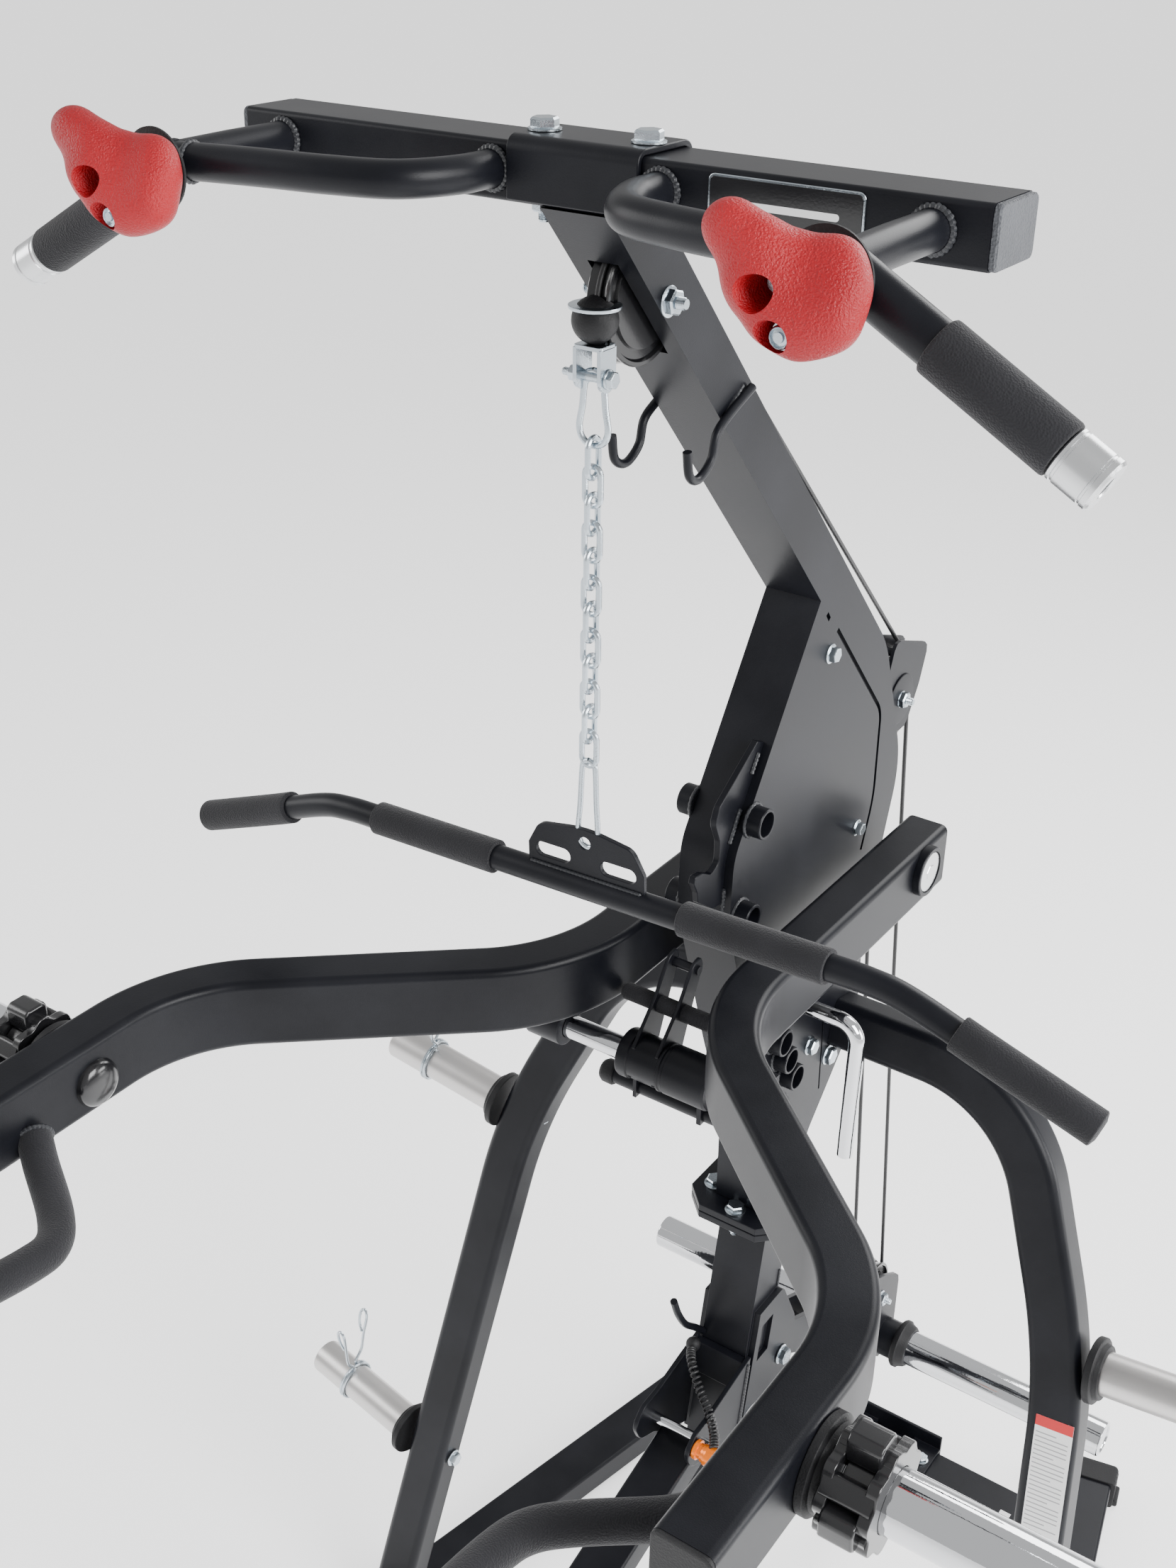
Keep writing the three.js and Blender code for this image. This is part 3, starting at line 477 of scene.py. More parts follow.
def nut_and_stud(origin, direction, across=17, stud=9):
    """A flanged nut with the end of its threaded bolt standing out."""
    nut = hex_head(origin, direction, across, 9, across + 6)
    thread = [(8, 0.01 + stud / 2)]
    for k in range(5):
        thread += [(9 + k * 1.4, stud / 2), (9.7 + k * 1.4, stud / 2 - 0.6)]
    thread += [(16.5, stud / 2 - 1), (16.5, 0)]
    return merge(nut, lathe([(6, 0), *thread], origin, direction, 20))


def weld_ring(origin, direction, radius, bead=3.4, count=44):
    """A welded bead: a rippled ring of overlapping scales."""
    axis, side, rise = basis(direction)
    base = Vector(origin)
    verts = []
    rows, around = count * 4, 8
    for i in range(rows):
        a = 2 * math.pi * i / rows
        spoke = side * math.cos(a) + rise * math.sin(a)
        swell = bead * (0.82 + 0.25 * abs(math.sin(a * count / 2)) + 0.12 * noise.noise(spoke * 5 + base))
        for j in range(around):
            b = 2 * math.pi * j / around
            verts.append(base + spoke * (radius + swell * math.cos(b)) + axis * swell * math.sin(b))
    return verts, loop_faces(rows, around)


def weld_line(start, end, bead=2.6):
    """A straight rippled bead of weld."""
    a, b = Vector(start), Vector(end)
    steps = max(6, int((b - a).length / 1.2))
    pts = [a.lerp(b, k / steps) for k in range(steps + 1)]
    scales = [0.8 + 0.3 * abs(math.sin(k * 0.9)) for k in range(steps + 1)]
    scales[0] = scales[-1] = 0.3
    return sweep(pts, ring(bead, 8), scales=scales)


def hardware(name, shapes, body="frame"):
    """Bolts and nuts as one piece."""
    piece(name, *merge(*shapes), "zinc", body)


def seams(name, beads):
    """Weld beads on the fixed frame as one piece."""
    piece(name, *merge(*beads), COAT, "frame", look=TRIM["weld"])


def wire(points, radius, count=12, steps=8):
    """A rod bent smoothly through the points."""
    return sweep(smooth_path(points, steps), ring(radius, count))


# ------------------------------------------------------------------ base
RAIL_Z = 28
REAR_BEAM_Y = 911
RAIL_SECTION = rounded_rect(70, 44, 5)


def base():
    """Floor rails with rubber feet, and the cross beam that ties them behind."""
    rear = Vector((289, 1070))
    front = Vector((486, 146))
    along = (front - rear).normalized()
    for label, sign in SIDES:
        start = (rear.x * sign, rear.y, RAIL_Z)
        end = (front.x * sign, front.y, RAIL_Z)
        body = sweep([start, end], RAIL_SECTION, up=UP)
        piece(f"rail_{label}", *body, COAT, "frame", [f"base_rail_{label}"])
        for which, place, heading in (("rear", rear, -along), ("front", front, along)):
            out = Vector((heading.x * sign, heading.y, 0))
            root = Vector((place.x * sign, place.y, 0))

            def run(*stops):
                return [root + out * beyond + Vector((0, 0, z)) for beyond, z in stops]

            sleeve = sweep(run((-34, 27.5), (1, 27.5), (7, 27)), rounded_rect(83, 52.5, 6), up=UP,
                           scales=[1, 1, 0.95])
            skirt = sweep(run((-27, 6.2), (5.5, 6.2)), rounded_rect(97, 12, 4), up=UP)
            ribs = [sweep(run((-d, RAIL_Z), (3 - d, RAIL_Z)), rounded_rect(84.6, 51, 6), up=UP)
                    for d in (26, 16, 6)]
            piece(f"foot_{which}_{label}", *merge(sleeve, skirt, *ribs), "rubber", "frame",
                  [f"foot_cap_{which}_{label}"], bevel=0.8)
    beam = sweep([(-279, REAR_BEAM_Y, RAIL_Z), (279, REAR_BEAM_Y, RAIL_Z)], RAIL_SECTION, up=UP)
    piece("rear_beam", *beam, COAT, "frame", ["rear_cross_beam"])
    nuts = [hex_head((s * 255, 876, RAIL_Z), (0, -1, 0)) for s in BOTH]
    nuts += [hex_head((s * 62, REAR_BEAM_Y, 56.2), UP) for s in BOTH]
    hardware("base_nuts", nuts)
    sticker = box_shape(205, 222, 886, 899, 49.8, 50.2)
    piece("beam_sticker", *sticker, COAT, "frame", look=TRIM["label_white"])
    soften("rear_saddle_plate", 1.2)


# ------------------------------------------------------------------ column and flange
FLANGE_LOW, FLANGE_HIGH = 934.2, 953.8
COLUMN_LEAN = 0.1774


def column_front(z):
    return 371 - (933.6 - z) * COLUMN_LEAN


def column():
    """The lower column, the spine tube behind it, and the bolted flange under the mast."""
    soften("lower_column", 1.5)
    soften("spine_tube", 4, 3)
    mid = 385.5

    def octagon(grow):
        a, b, c = 64 + grow, 60.5 + grow, 26
        return [(-a, mid - b + c), (-a + c, mid - b), (a - c, mid - b), (a, mid - b + c),
                (a, mid + b - c), (a - c, mid + b), (-a + c, mid + b), (-a, mid + b - c)]

    plates = merge(plate_z(octagon(0), FLANGE_LOW, 943.3), plate_z(octagon(0), 944.4, FLANGE_HIGH),
                   plate_z(octagon(-1.6), 943, 944.8))
    piece("flange_plates", *plates, COAT, "frame", ["column_flange"], bevel=0.9)
    studs = []
    for x, y in ((-42, 367), (42, 367), (-46, 414), (46, 414), (2, 341)):
        studs.append(hex_head((x, y, FLANGE_HIGH), UP, 18, 9, 25))
        studs.append(nut_and_stud((x, y, FLANGE_LOW), (0, 0, -1), 17, 9))
    hardware("flange_bolts", studs)
    welds = []
    for s in BOTH:
        for k in range(5):
            z = 892 - k * 66
            y = column_front(z) + 58
            welds.append(weld_line((s * 31.5, y, z), (s * 31.5, y - 4, z - 24), 1.8))
        y = column_front(932)
        welds.append(weld_line((s * 32, y + 4, 932), (s * 32, y + 58, 932), 2.6))
        welds.append(weld_line((s * 32, 356, 955), (s * 32, 434, 955), 2.6))
    seams("column_welds", welds)
    bolts = []
    for s in BOTH:
        bolts.append(hex_head((s * 40, 414, 687), (s, 0, 0), 19, 10, 26))
        bolts.append(hex_head((s * 39, column_front(640) + 30, 640), (s, 0, 0), 15, 8, 20))
    hardware("column_bolts", bolts)


# ------------------------------------------------------------------ mast
MAST_TOP = 2137.4
MAST_HALF = 31
KINK = (382, 1713)
TOP_FRONT = KINK[0] - math.tan(math.radians(42)) * (MAST_TOP - KINK[1])


def mast_outline():
    front = rounded([(378, 1707), (238, 1487), (236, 1410), (302, 1210), (350, 1080), (352, 954.6)],
                    [60, 120, 200, 200], 12)
    rear = rounded([(438, 975), (455, 1010), (560, 1120), (556, 1250), (612, 1440), (545, 1611),
                    (TOP_FRONT + 66, MAST_TOP)], [60, 60, 200, 120, 150], 14)
    return [(TOP_FRONT, MAST_TOP), KINK, *front, (438, 954.6), *rear]


def strip(points, width):
    """The outline of a line of even width in a plane."""
    left, right = [], []
    for i, p in enumerate(points):
        a = Vector(points[max(i - 1, 0)])
        b = Vector(points[min(i + 1, len(points) - 1)])
        t = (b - a).normalized()
        n = Vector((-t.y, t.x)) * width / 2
        left.append((p[0] + n.x, p[1] + n.y))
        right.insert(0, (p[0] - n.x, p[1] - n.y))
    return left + right


def mast():
    """The mast with its pulley slots, catch plate, storage sockets, side cover seams, welds and bolts."""
    seam = rounded([(424, 1668), (546, 1530), (548, 1420), (528, 1362)], [40, 120], 8)
    cuts = [bar(-14, 14, 57, (0, *UPPER_PULLEY), RIGHT, 48),
            bar(-24, 24, 62, (0, *REAR_PULLEY), RIGHT, 48),
            bar(-50, 50, 9.6, (0, 375, 1245), RIGHT, 28)]
    for s in BOTH:
        cuts.append(plate_side(strip(seam, 5), s, 27, 34))
        cuts.append(plate_side(strip([(398, 1694), (404, 1686)], 5), s, 27, 34))
        cuts.append(plate_side(strip([(470, 1180), (474, 1060)], 3), s, 28, 34))
    body = plate_x(mast_outline(), -MAST_HALF, MAST_HALF)
    carved("mast_body", body, cuts, COAT, "frame", ["mast"], bevel=2.2, steps=3)
    catch = rounded([(310, 1584), (290, 1594), (222, 1550), (215, 1534), (226, 1510), (226, 1486),
                     (212, 1480), (196, 1489), (182, 1491), (180, 1484), (187, 1471), (189, 1459),
                     (218, 1437), (250, 1432)], [2, 14, 14, 14, 8, 8, 6, 3, 2, 6, 6, 10], 4)
    piece("catch_plate", *plate_x(catch, 14, 21), COAT, "frame", bevel=0.8)
    sockets, rims = [], []
    row = [(331, 1241), (349, 1207), (365, 1174), (383, 1140)]
    places = [(s, y, z) for y, z in ((270, 1518), (254, 1416)) for s in BOTH] + [(1, y, z) for y, z in row]
    for s, y, z in places:
        sockets.append(lathe([(29, 12.6), (29, 16), (47, 16), (48, 15.2), (48, 13.2), (47, 12.6), (29, 12.6)],
                             (0, y, z), (s, 0, 0), 36))
        sockets.append(bar(30.8, 31.4, 12.7, (0, y, z), (s, 0, 0), 36))
        rims.append(weld_ring((s * 31.5, y, z), (s, 0, 0), 17, 2.0, 20))
    piece("sockets", *merge(*sockets), COAT, "frame")
    for (y0, z0), (y1, z1) in zip(row, row[1:]):
        y, z = (y0 + y1) / 2, (z0 + z1) / 2
        rims.append(weld_line((41, y - 7, z - 4), (41, y + 7, z + 4), 2.2))
    for low, high in (((243, 1500), (262, 1532)), ((238, 1424), (238, 1452)), ((279, 1562), (292, 1582))):
        rims.append(weld_line((21.6, low[0] - 1, low[1]), (21.6, high[0] - 1, high[1]), 2.6))
    for s in BOTH:
        top = MAST_TOP - 1
        rims.append(weld_line((s * 31.2, TOP_FRONT + 3, top), (s * 31.2, TOP_FRONT + 62, top), 2.6))
        rims.append(weld_line((s * 31.2, 206, 1969), (s * 31.2, 176, 1948), 2.0))
    seams("mast_welds", rims)
    bolts = []
    for s in BOTH:
        for y, z, across in ((412, 1646, 15), (511, 1399, 13), (439, 1144, 17), (489, 1101, 19)):
            bolts.append(hex_head((s * MAST_HALF, y, z), (s, 0, 0), across, 9, across + 6))
        bolts.append(nut_and_stud((s * MAST_HALF, *UPPER_PULLEY), (s, 0, 0), 19, 10))
    hardware("mast_bolts", bolts)


# ------------------------------------------------------------------ pull-up beam
def beam():
    """The pull-up beam, its saddle bracket and a plain badge."""
    body = sweep([(-323, *BEAM_MID), (323, *BEAM_MID)], rounded_rect(62, 44, 4), up=UP)
    piece("beam_tube", *body, COAT, "frame", ["cross_beam"])
    for label, s in SIDES:
        cap = sweep([(s * x, *BEAM_MID) for x in (323.4, 327, 328.3)], rounded_rect(61, 43, 5), up=UP,
                    scales=[1, 1, 0.96])
        piece(f"beam_end_{label}", *cap, "rubber", "frame", [f"beam_cap_{label}"], look=TRIM["beam_face"])
    bend = rounded([(68, 2141), (68, 2187.4), (-5.4, 2187.4), (-5.4, 2141)], [11, 11], 8)
    inner = rounded([(62.6, 2141), (62.6, 2182.6), (-0.6, 2182.6), (-0.6, 2141)], [5, 5], 8)
    piece("bracket_wrap", *plate_x(bend + inner[::-1], -58, 58), COAT, "frame", ["beam_bracket"], bevel=1.0)
    bolts = [hex_head((s * 46, 27, 2188), UP, 19, 9, 26) for s in BOTH]
    bolts += [nut_and_stud((s * 46, 27, 2138), (0, 0, -1), 17, 10) for s in BOTH]
    hardware("bracket_bolts", bolts)

    def badge(width, height, radius, front, back):
        outline = [(174 + u, 2160 + v) for u, v in rounded_rect(width, height, radius)]
        return plate_y(outline, front, back)

    piece("badge_rim", *badge(121, 37, 5, -1.4, 0.4), "zinc", "frame", bevel=0.5)
    piece("badge_face", *badge(117.5, 33.5, 3.5, -1.9, -1.2), "nylon", "frame", bevel=0.2)
    piece("badge_bar", *badge(84, 5, 2.4, -2.3, -1.8), COAT, "frame", look=TRIM["label_white"])


def handles():
    """The pull-up handles: bent tubes with foam sleeves, turned caps and strap hooks."""
    for label, s in SIDES:
        inner = sweep(smooth_path([(74, -0.4, 2161), (77, -40, 2161), (100, -80, 2161), (150, -97, 2161),
                                   (215, -108, 2161), (284, -119, 2160)], 12), ring(14, 32))
        outer = sweep([(283, -0.4, 2161), (283, -60, 2161), (283, -120, 2160)], ring(14, 32))
        elbow = lathe([(-14, 0), (-12, 7), (-8, 11.5), (0, 14), (8, 11.5), (12, 7), (14, 0)],
                      (283, -120, 2160), UP, 28)
        start = Vector((276, -120, 2162))
        axis = (Vector((446, -122, 2067)) - start).normalized()
        grip = sweep([start, start + axis * 84], ring(16, 32))
        spigot = sweep([start + axis * 84, start + axis * 192], ring(13.6, 28))
        shape = mirrored(merge(inner, outer, elbow, grip, spigot), s)
        piece(f"pullup_tube_{label}", *shape, COAT, "frame", [f"pullup_handle_{label}"])
        foam = lathe([(82, 14.2), (82, 17.6), (83, 18.7), (85, 19), (178, 19), (179.6, 18.4), (180, 17),
                      (180, 14.2)], start, axis, 40)
        sided("pullup_foam", label, foam, "foam_grip", "frame", "pullup_grip", smooth=50)
        cap = lathe([(181, 0), (181, 17), (182, 18), (184, 18), (184.5, 17.2), (186, 17.2), (186.5, 18),
                     (205, 18), (205.5, 17.3), (206.8, 17.3), (207.3, 18), (211, 18), (213, 16.4),
                     (213, 8.5), (212, 7.5), (203, 7.5), (203, 0)], start, axis, 56)
        sided("pullup_cap", label, cap, "brushed_aluminium", "frame", "grip_cap", smooth=25)
        beads = [weld_ring((x, -1.5, 2161), REAR, 14.5, 3.0, 26) for x in (74, 283)]
        beads.append(weld_ring((268, -116.5, 2160), (1, -0.12, 0), 14.2, 2.2, 22))
        sided("handle_welds", label, merge(*beads), COAT, "frame", look=TRIM["weld"])
        hook = wire([(35.6, 214, 1966), (35.6, 176, 1950), (36, 157, 1938), (36, 150, 1918), (36, 131, 1907),
                     (37, 115, 1914), (37, 110, 1936)], 4)
        sided("strap_hook", label, hook, COAT, "frame", "hanger_hook")


HOLD_X = 279


def blended_distance(spot, lobes, blend=9.5):
    """Signed distance to a group of spheres melted into one another."""
    total = sum(math.exp(-((spot - centre).length - radius) / blend) for centre, radius in lobes)
    return -blend * math.log(total)


def climbing_hold(label, s):
    """A lobed boulder: a high shoulder and an outer shoulder with a saddle between, and two recesses."""
    middle = Vector((274, -168, 2160))
    lobes = [(Vector((x, y, z)), radius) for x, y, z, radius in (
        (236, -180, 2187, 14), (258, -178, 2176, 12.5), (255, -184, 2157, 13), (270, -182, 2140, 12.5),
        (287, -178, 2131, 12), (305, -172, 2138, 12), (308, -168, 2158, 11.5), (301, -160, 2172, 9),
        (278, -164, 2166, 13))]
    back_plane, halvings = -140.0, 22
    ball = bmesh.new()
    bmesh.ops.create_icosphere(ball, subdivisions=6, radius=1.0)
    verts = []
    for v in ball.verts:
        ray = v.co.normalized()
        near, far = 1.0, 90.0
        for _ in range(halvings):
            half = (near + far) / 2
            if blended_distance(middle + ray * half, lobes) < 0:
                near = half
            else:
                far = half
        reach = near * (1 + 0.012 * noise.noise(ray * 3.1))
        spot = middle + ray * reach
        if spot.y > back_plane:
            spot = middle + ray * (back_plane - middle.y) / ray.y
        verts.append(tuple(spot))
    faces = [tuple(v.index for v in f.verts) for f in ball.faces]
    ball.free()
    holes = [lathe([(0, 0), (0, 15), (14, 12.5), (20, 11), (46, 10.5), (46, 0)],
                   (262, -220, 2153), (0.2, 1, 0.1), 36),
             lathe([(0, 0), (0, 14), (10, 11.5), (16, 10.2), (34, 10), (34, 0)],
                   (276, -210, 2129), (0.12, 1, 0.1), 36)]
    # Both holds are the same casting, so the left one is moved across and not mirrored.
    across = 0 if s > 0 else -2 * HOLD_X

    def put(shape):
        return [(v[0] + across, v[1], v[2]) for v in shape[0]], shape[1]

    carved(f"hold_{label}", put((verts, faces)), [put(h) for h in holes], "hold_resin", "frame",
           [f"climbing_hold_{label}"], bevel=0.7)
    head = [(0, 0), (0, 8.6), (2, 9), (3, 9), (3, 0)]
    socket = [(-7, 0), (-7, 3.2), (-5, 3.4), (-4.6, 5.2), (-6.4, 6.2), (-5, 7.2), (0, 7.4), (0, 0)]
    screw = merge(*(lathe(profile, (282, -189, 2131), REAR, 28) for profile in (head, socket)))
    piece(f"hold_screw_{label}", *put(screw), "zinc", "frame")
    nut = lathe([(0, 0), (0, 2.4), (1.5, 2.6), (1.5, 5.8), (3, 6), (3, 0)], (268, -178, 2157), REAR, 20)
    piece(f"hold_nut_{label}", *put(nut), "zinc", "frame")
    pad = sweep([(282 * s, -141.5, 2156), (282 * s, -139.6, 2156)], ring(31, 48))
    piece(f"hold_backing_{label}", *pad, "rubber", "frame")


# ------------------------------------------------------------------ pulleys and cables
def grooved(centre, groove, outer, half=10):
    """A pulley wheel with a dished web and a round groove."""
    profile = [(-half, 8), (-half, outer - 14), (-half + 3, outer - 13), (-half + 3, outer - 6),
               (-half, outer - 4), (-half, outer - 1), (-half + 1, outer), (-half + 2.4, outer)]
    for k in range(9):
        a = math.pi * k / 8
        profile.append((-3.4 * math.cos(a), groove + 1.6 - 2.6 * math.sin(a)))
    profile += [(half - 2.4, outer), (half - 1, outer), (half, outer - 1), (half, outer - 4),
                (half - 3, outer - 6), (half - 3, outer - 13), (half, outer - 14), (half, 8), (-half, 8)]
    return lathe(profile, (0, *centre), RIGHT, 64)


def pulleys():
    for name, centre, groove, outer in (("upper", UPPER_PULLEY, 50.5, 54), ("rear", REAR_PULLEY, 50.5, 54),
                                        ("lever", LEVER_PULLEY, 44.5, 48)):
        body = f"{name}_pulley"
        piece(f"pulley_{name}_wheel", *grooved(centre, groove, outer), "nylon", body, [body], smooth=30)
    soften("rear_pulley_bracket", 0.8)
    bolts = [nut_and_stud((s * 16, *REAR_PULLEY), (s, 0, 0), 17, 9) for s in BOTH]
    hardware("rear_pulley_nuts", bolts)
    disc = [(16.2, 0), (16.2, 30), (17.4, 30), (18, 29), (18, 0)]
    discs = [lathe(disc, (0, *REAR_PULLEY), (s, 0, 0), 44) for s in BOTH]
    piece("rear_pulley_discs", *merge(*discs), COAT, "frame")


def arc(centre, radius, start, end, steps=24):
    """Points on a circle in the middle plane, between two angles in degrees."""
    y0, z0 = centre
    turns = [math.radians(start + (end - start) * k / steps) for k in range(steps + 1)]
    return [(0, y0 + radius * math.cos(a), z0 + radius * math.sin(a)) for a in turns]


def subdivided(path, step):
    """A path with more points on it, no further apart than about a step."""
    fine = []
    for a, b in zip(path, path[1:]):
        a, b = Vector(a), Vector(b)
        count = max(1, int((b - a).length / step))
        fine += [tuple(a.lerp(b, k / count)) for k in range(count)]
    return fine + [path[-1]]


def cables():
    """The lat cable over its pulleys, the run to the weight lever, and its anchor on the mast."""
    cord = ring(CABLE_RADIUS, 12)
    over = arc(UPPER_PULLEY, 53, 180, 46, 24) + arc(REAR_PULLEY, 53, 41, 7, 10) + [CABLE_FORK]
    piece("lat_cable", *sweep(subdivided(over, 30), cord, up=RIGHT), "cable_sheath", "frame",
          ["rear_cable", "return_cable"])
    drop = sweep([(0, 31, 2064 - k * 2) for k in range(10)], cord, up=RIGHT)
    rope = piece("lat_cable_drop", *drop, "cable_sheath", None)
    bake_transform(rope)
    loop = subdivided([CABLE_FORK] + arc(LEVER_PULLEY, 46.5, 8, -184, 30) + [(0, 630, 1270)], 20)
    lower = piece("lever_cable", *sweep(loop, cord, up=RIGHT), "cable_sheath", None)
    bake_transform(lower)
    lug = plate_x([(560, 1255), (612, 1292), (640, 1285), (640, 1262), (600, 1240), (556, 1230)], -4, 4)
    lug = merge(lug, nut_and_stud((4, 626, 1273), RIGHT, 13, 7))
    piece("cable_anchor", *lug, COAT, "frame", bevel=0.6)


# ------------------------------------------------------------------ lat line
def chain_link(centre, turned, half_length=16.4, half_width=7.6, wire_radius=2.6):
    """One oval link, standing edge on or turned a quarter."""
    straight, count = half_length - half_width, 32
    path = []
    for k in range(count):
        a = 2 * math.pi * k / count
        u = half_width * math.cos(a)
        v = half_width * math.sin(a) + (straight if math.sin(a) > 0 else -straight)
        path.append((u, 0, v) if turned else (0, u, v))
    verts, around = [], 10
    normal = Vector(REAR if turned else RIGHT)
    for i, p in enumerate(path):
        t = (Vector(path[(i + 1) % count]) - Vector(path[i - 1])).normalized()
        side = t.cross(normal)
        for j in range(around):
            a = 2 * math.pi * j / around
            out = side * math.cos(a) + normal * math.sin(a)
            verts.append(Vector(centre) + Vector(p) + out * wire_radius)
    return verts, loop_faces(count, around)


def carabiner(z1, z0, width, radius):
    """A snap hook: a pear-shaped loop of rod with its gate on one side."""
    flank = [(0.32, z1 - 3), (0.42, z1 - 12), (0.5, (z0 + z1) / 2), (0.62, z0 + 14), (0.45, z0 + 4)]
    outline = [(0, z1), *((-width * u, z) for u, z in flank), (0, z0),
               *((width * u, z) for u, z in reversed(flank)), (0, z1)]
    path = smooth_path([(x, LAT_Y, z) for x, z in outline], 8)
    return sweep(path, ring(radius, 12), up=REAR, caps=False)


def lat_line():
    """The stop ball, clevis, snap hooks and chain that carry the lat bar."""
    radius = 18.5
    ball = [(-radius * math.cos(math.pi * k / 20), radius * math.sin(math.pi * k / 20)) for k in range(21)]
    ball[0], ball[-1] = (-radius, 0), (radius, 0)
    cut = bar(-11, 11, 56, (0, *UPPER_PULLEY), RIGHT, 48)
    washer = [(9, 3), (9, 20.5), (10, 21), (11.5, 21), (12, 20), (12, 3), (9, 3)]
    ball, washer = (lathe(profile, (0, LAT_Y, 2054), UP, 48) for profile in (ball, washer))
    carved("stop_ball", ball, [cut], "rubber", "lat_line", ["ball_stop"], bevel=0)
    carved("ball_washer", washer, [cut], "zinc", "lat_line", bevel=0)
    parts = [prism(rounded_rect(26, 22, 3), lambda u, v, w: (u, LAT_Y + v, w), 2032.5, 2036)]
    for s in BOTH:
        ear = [(-11, 2034)] + [(11 * math.cos(a), 2010 + 11 * math.sin(a))
                               for a in [math.pi + math.pi * k / 12 for k in range(13)]] + [(11, 2034)]
        parts.append(plate_side([(LAT_Y + u, v) for u, v in ear], s, 9.6, 13))
    parts.append(bar(-16, 16, 4.5, (0, LAT_Y, 2010), RIGHT, 20))
    parts.append(hex_head((13, LAT_Y, 2010), RIGHT, 13, 7, 16))
    parts.append(nut_and_stud((-13, LAT_Y, 2010), (-1, 0, 0), 12, 7))
    piece("clevis", *merge(*parts), "zinc", "lat_line", bevel=0.5)
    piece("snap_hook_upper", *carabiner(2015, 1955, 22, 2.7), "zinc", "lat_line")
    top, pitch, count = 1945, 23.4, 12
    links = [chain_link((0, LAT_Y, top - k * pitch), k % 2 == 1) for k in range(count)]
    piece("chain_links", *merge(*links), "zinc", "lat_line", ["chain"])
    piece("snap_hook_lower", *carabiner(1676, 1590, 17, 2.5), "zinc", "lat_line")


def lat_bar():
    """The cambered lat bar with four foam sleeves and its slotted plate, hanging slightly askew."""
    tilt, height = math.radians(2.3), 1549
    c, s = math.cos(tilt), math.sin(tilt)

    def turn(shape):
        verts, faces = shape
        return [(x * c - z * s, y + LAT_Y, x * s + z * c + height) for x, y, z in verts], faces

    half = smooth_path([(0, 0, 0), (100, 0, 0), (235, 0, 0), (282, 0, -0.8), (318, 0, -7), (390, 0, -33),
                        (480, 0, -65)], 10)
    whole = [Vector((-p.x, p.y, p.z)) for p in reversed(half[1:])] + half
    piece("lat_tube", *turn(sweep(whole, ring(12, 32), up=REAR)), COAT, "lat_line", ["lat_bar"])
    low, high, outer_from = 101, 243, 352
    inner = [Vector((low, 0, 0))] + [p for p in half if low <= p.x <= high] + [Vector((high, 0, -0.1))]
    outer = [p for p in half if p.x > outer_from]
    for label, sign in SIDES:
        for name, run in (("inner", inner), ("outer", outer)):
            pts = [Vector((p.x * sign, p.y, p.z)) for p in run]
            first, last = pts[0], pts[-1]
            lead = (pts[1] - pts[0]).normalized()
            tail = (pts[-1] - pts[-2]).normalized()
            pts = [first, first + lead * 1.2] + pts[1:-1] + [last - tail * 1.2, last]
            scales = [0.93] + [1.0] * (len(pts) - 2) + [0.93]
            if name == "outer":
                pts += [last + tail * 2]
                scales += [0.55]
            foam = turn(sweep(pts, ring(16, 36), up=REAR, scales=scales))
            piece(f"bar_foam_{name}_{label}", *foam, "foam_grip", "lat_line", smooth=55)
    crown = rounded([(-62, 30), (-50, 52), (0, 60), (50, 52), (62, 30)], [14, 120, 14], 8)
    arch = [(-62, 8), *crown, (62, 8)]
    plate = plate_y(arch, -2.6, 2.6)
    holes = []
    for mid in (-35, 35):
        slot = [(mid + end * 12 + 7 * math.cos(a), 26 + 7 * math.sin(a))
                for end, start in ((1, -90), (-1, 90))
                for a in [math.radians(start + 180 * k / 10) for k in range(11)]]
        holes.append(plate_y(slot, -9, 9))
    holes.append(bar(-9, 9, 6, (0, 0, 45), REAR, 28))
    carved("bar_plate", turn(plate), [turn(h) for h in holes], COAT, "lat_line", bevel=0.7)
    beads = [weld_line((-60, y, 11.6), (60, y, 11.6), 1.8) for y in (-3.4, 3.4)]
    piece("bar_weld", *turn(merge(*beads)), COAT, "lat_line", look=TRIM["weld"])


# ------------------------------------------------------------------ weight lever
SLEEVE_AXLE = (786, 407)


def weight_lever():
    """The weight lever with a disc sleeve and bush on each side."""
    soften("lat_lever", 1.0)
    for label, s in SIDES:
        shape = lathe(horn_profile(315), (s * 47.6, *SLEEVE_AXLE), (s, 0, 0), 64)
        piece(f"sleeve_{label}", *shape, "chrome", "weight_lever", [f"weight_sleeve_{label}"], smooth=30)
        bush = lathe([(0, 25.2), (0, 33), (3, 35.5), (8, 35.5), (10, 33), (18, 30), (20, 28), (20, 25.2)],
                     (s * 47.6, *SLEEVE_AXLE), (s, 0, 0), 56)
        piece(f"sleeve_bush_{label}", *bush, "rubber", "weight_lever", smooth=40)
    bolts = [nut_and_stud((s * 22, *LEVER_PULLEY), (s, 0, 0), 17, 9) for s in BOTH]
    hardware("lever_nuts", bolts, "weight_lever")


def horn_profile(length, radius=HORN_RADIUS):
    """The outline of a disc horn: a round bar with a rolled end and a shallow recess."""
    return [(0, 0), (0, radius), (length - 3, radius), (length - 1, radius - 0.8), (length, radius - 2.6),
            (length, radius - 5), (length - 1.5, radius - 6), (length - 1.5, 0)]


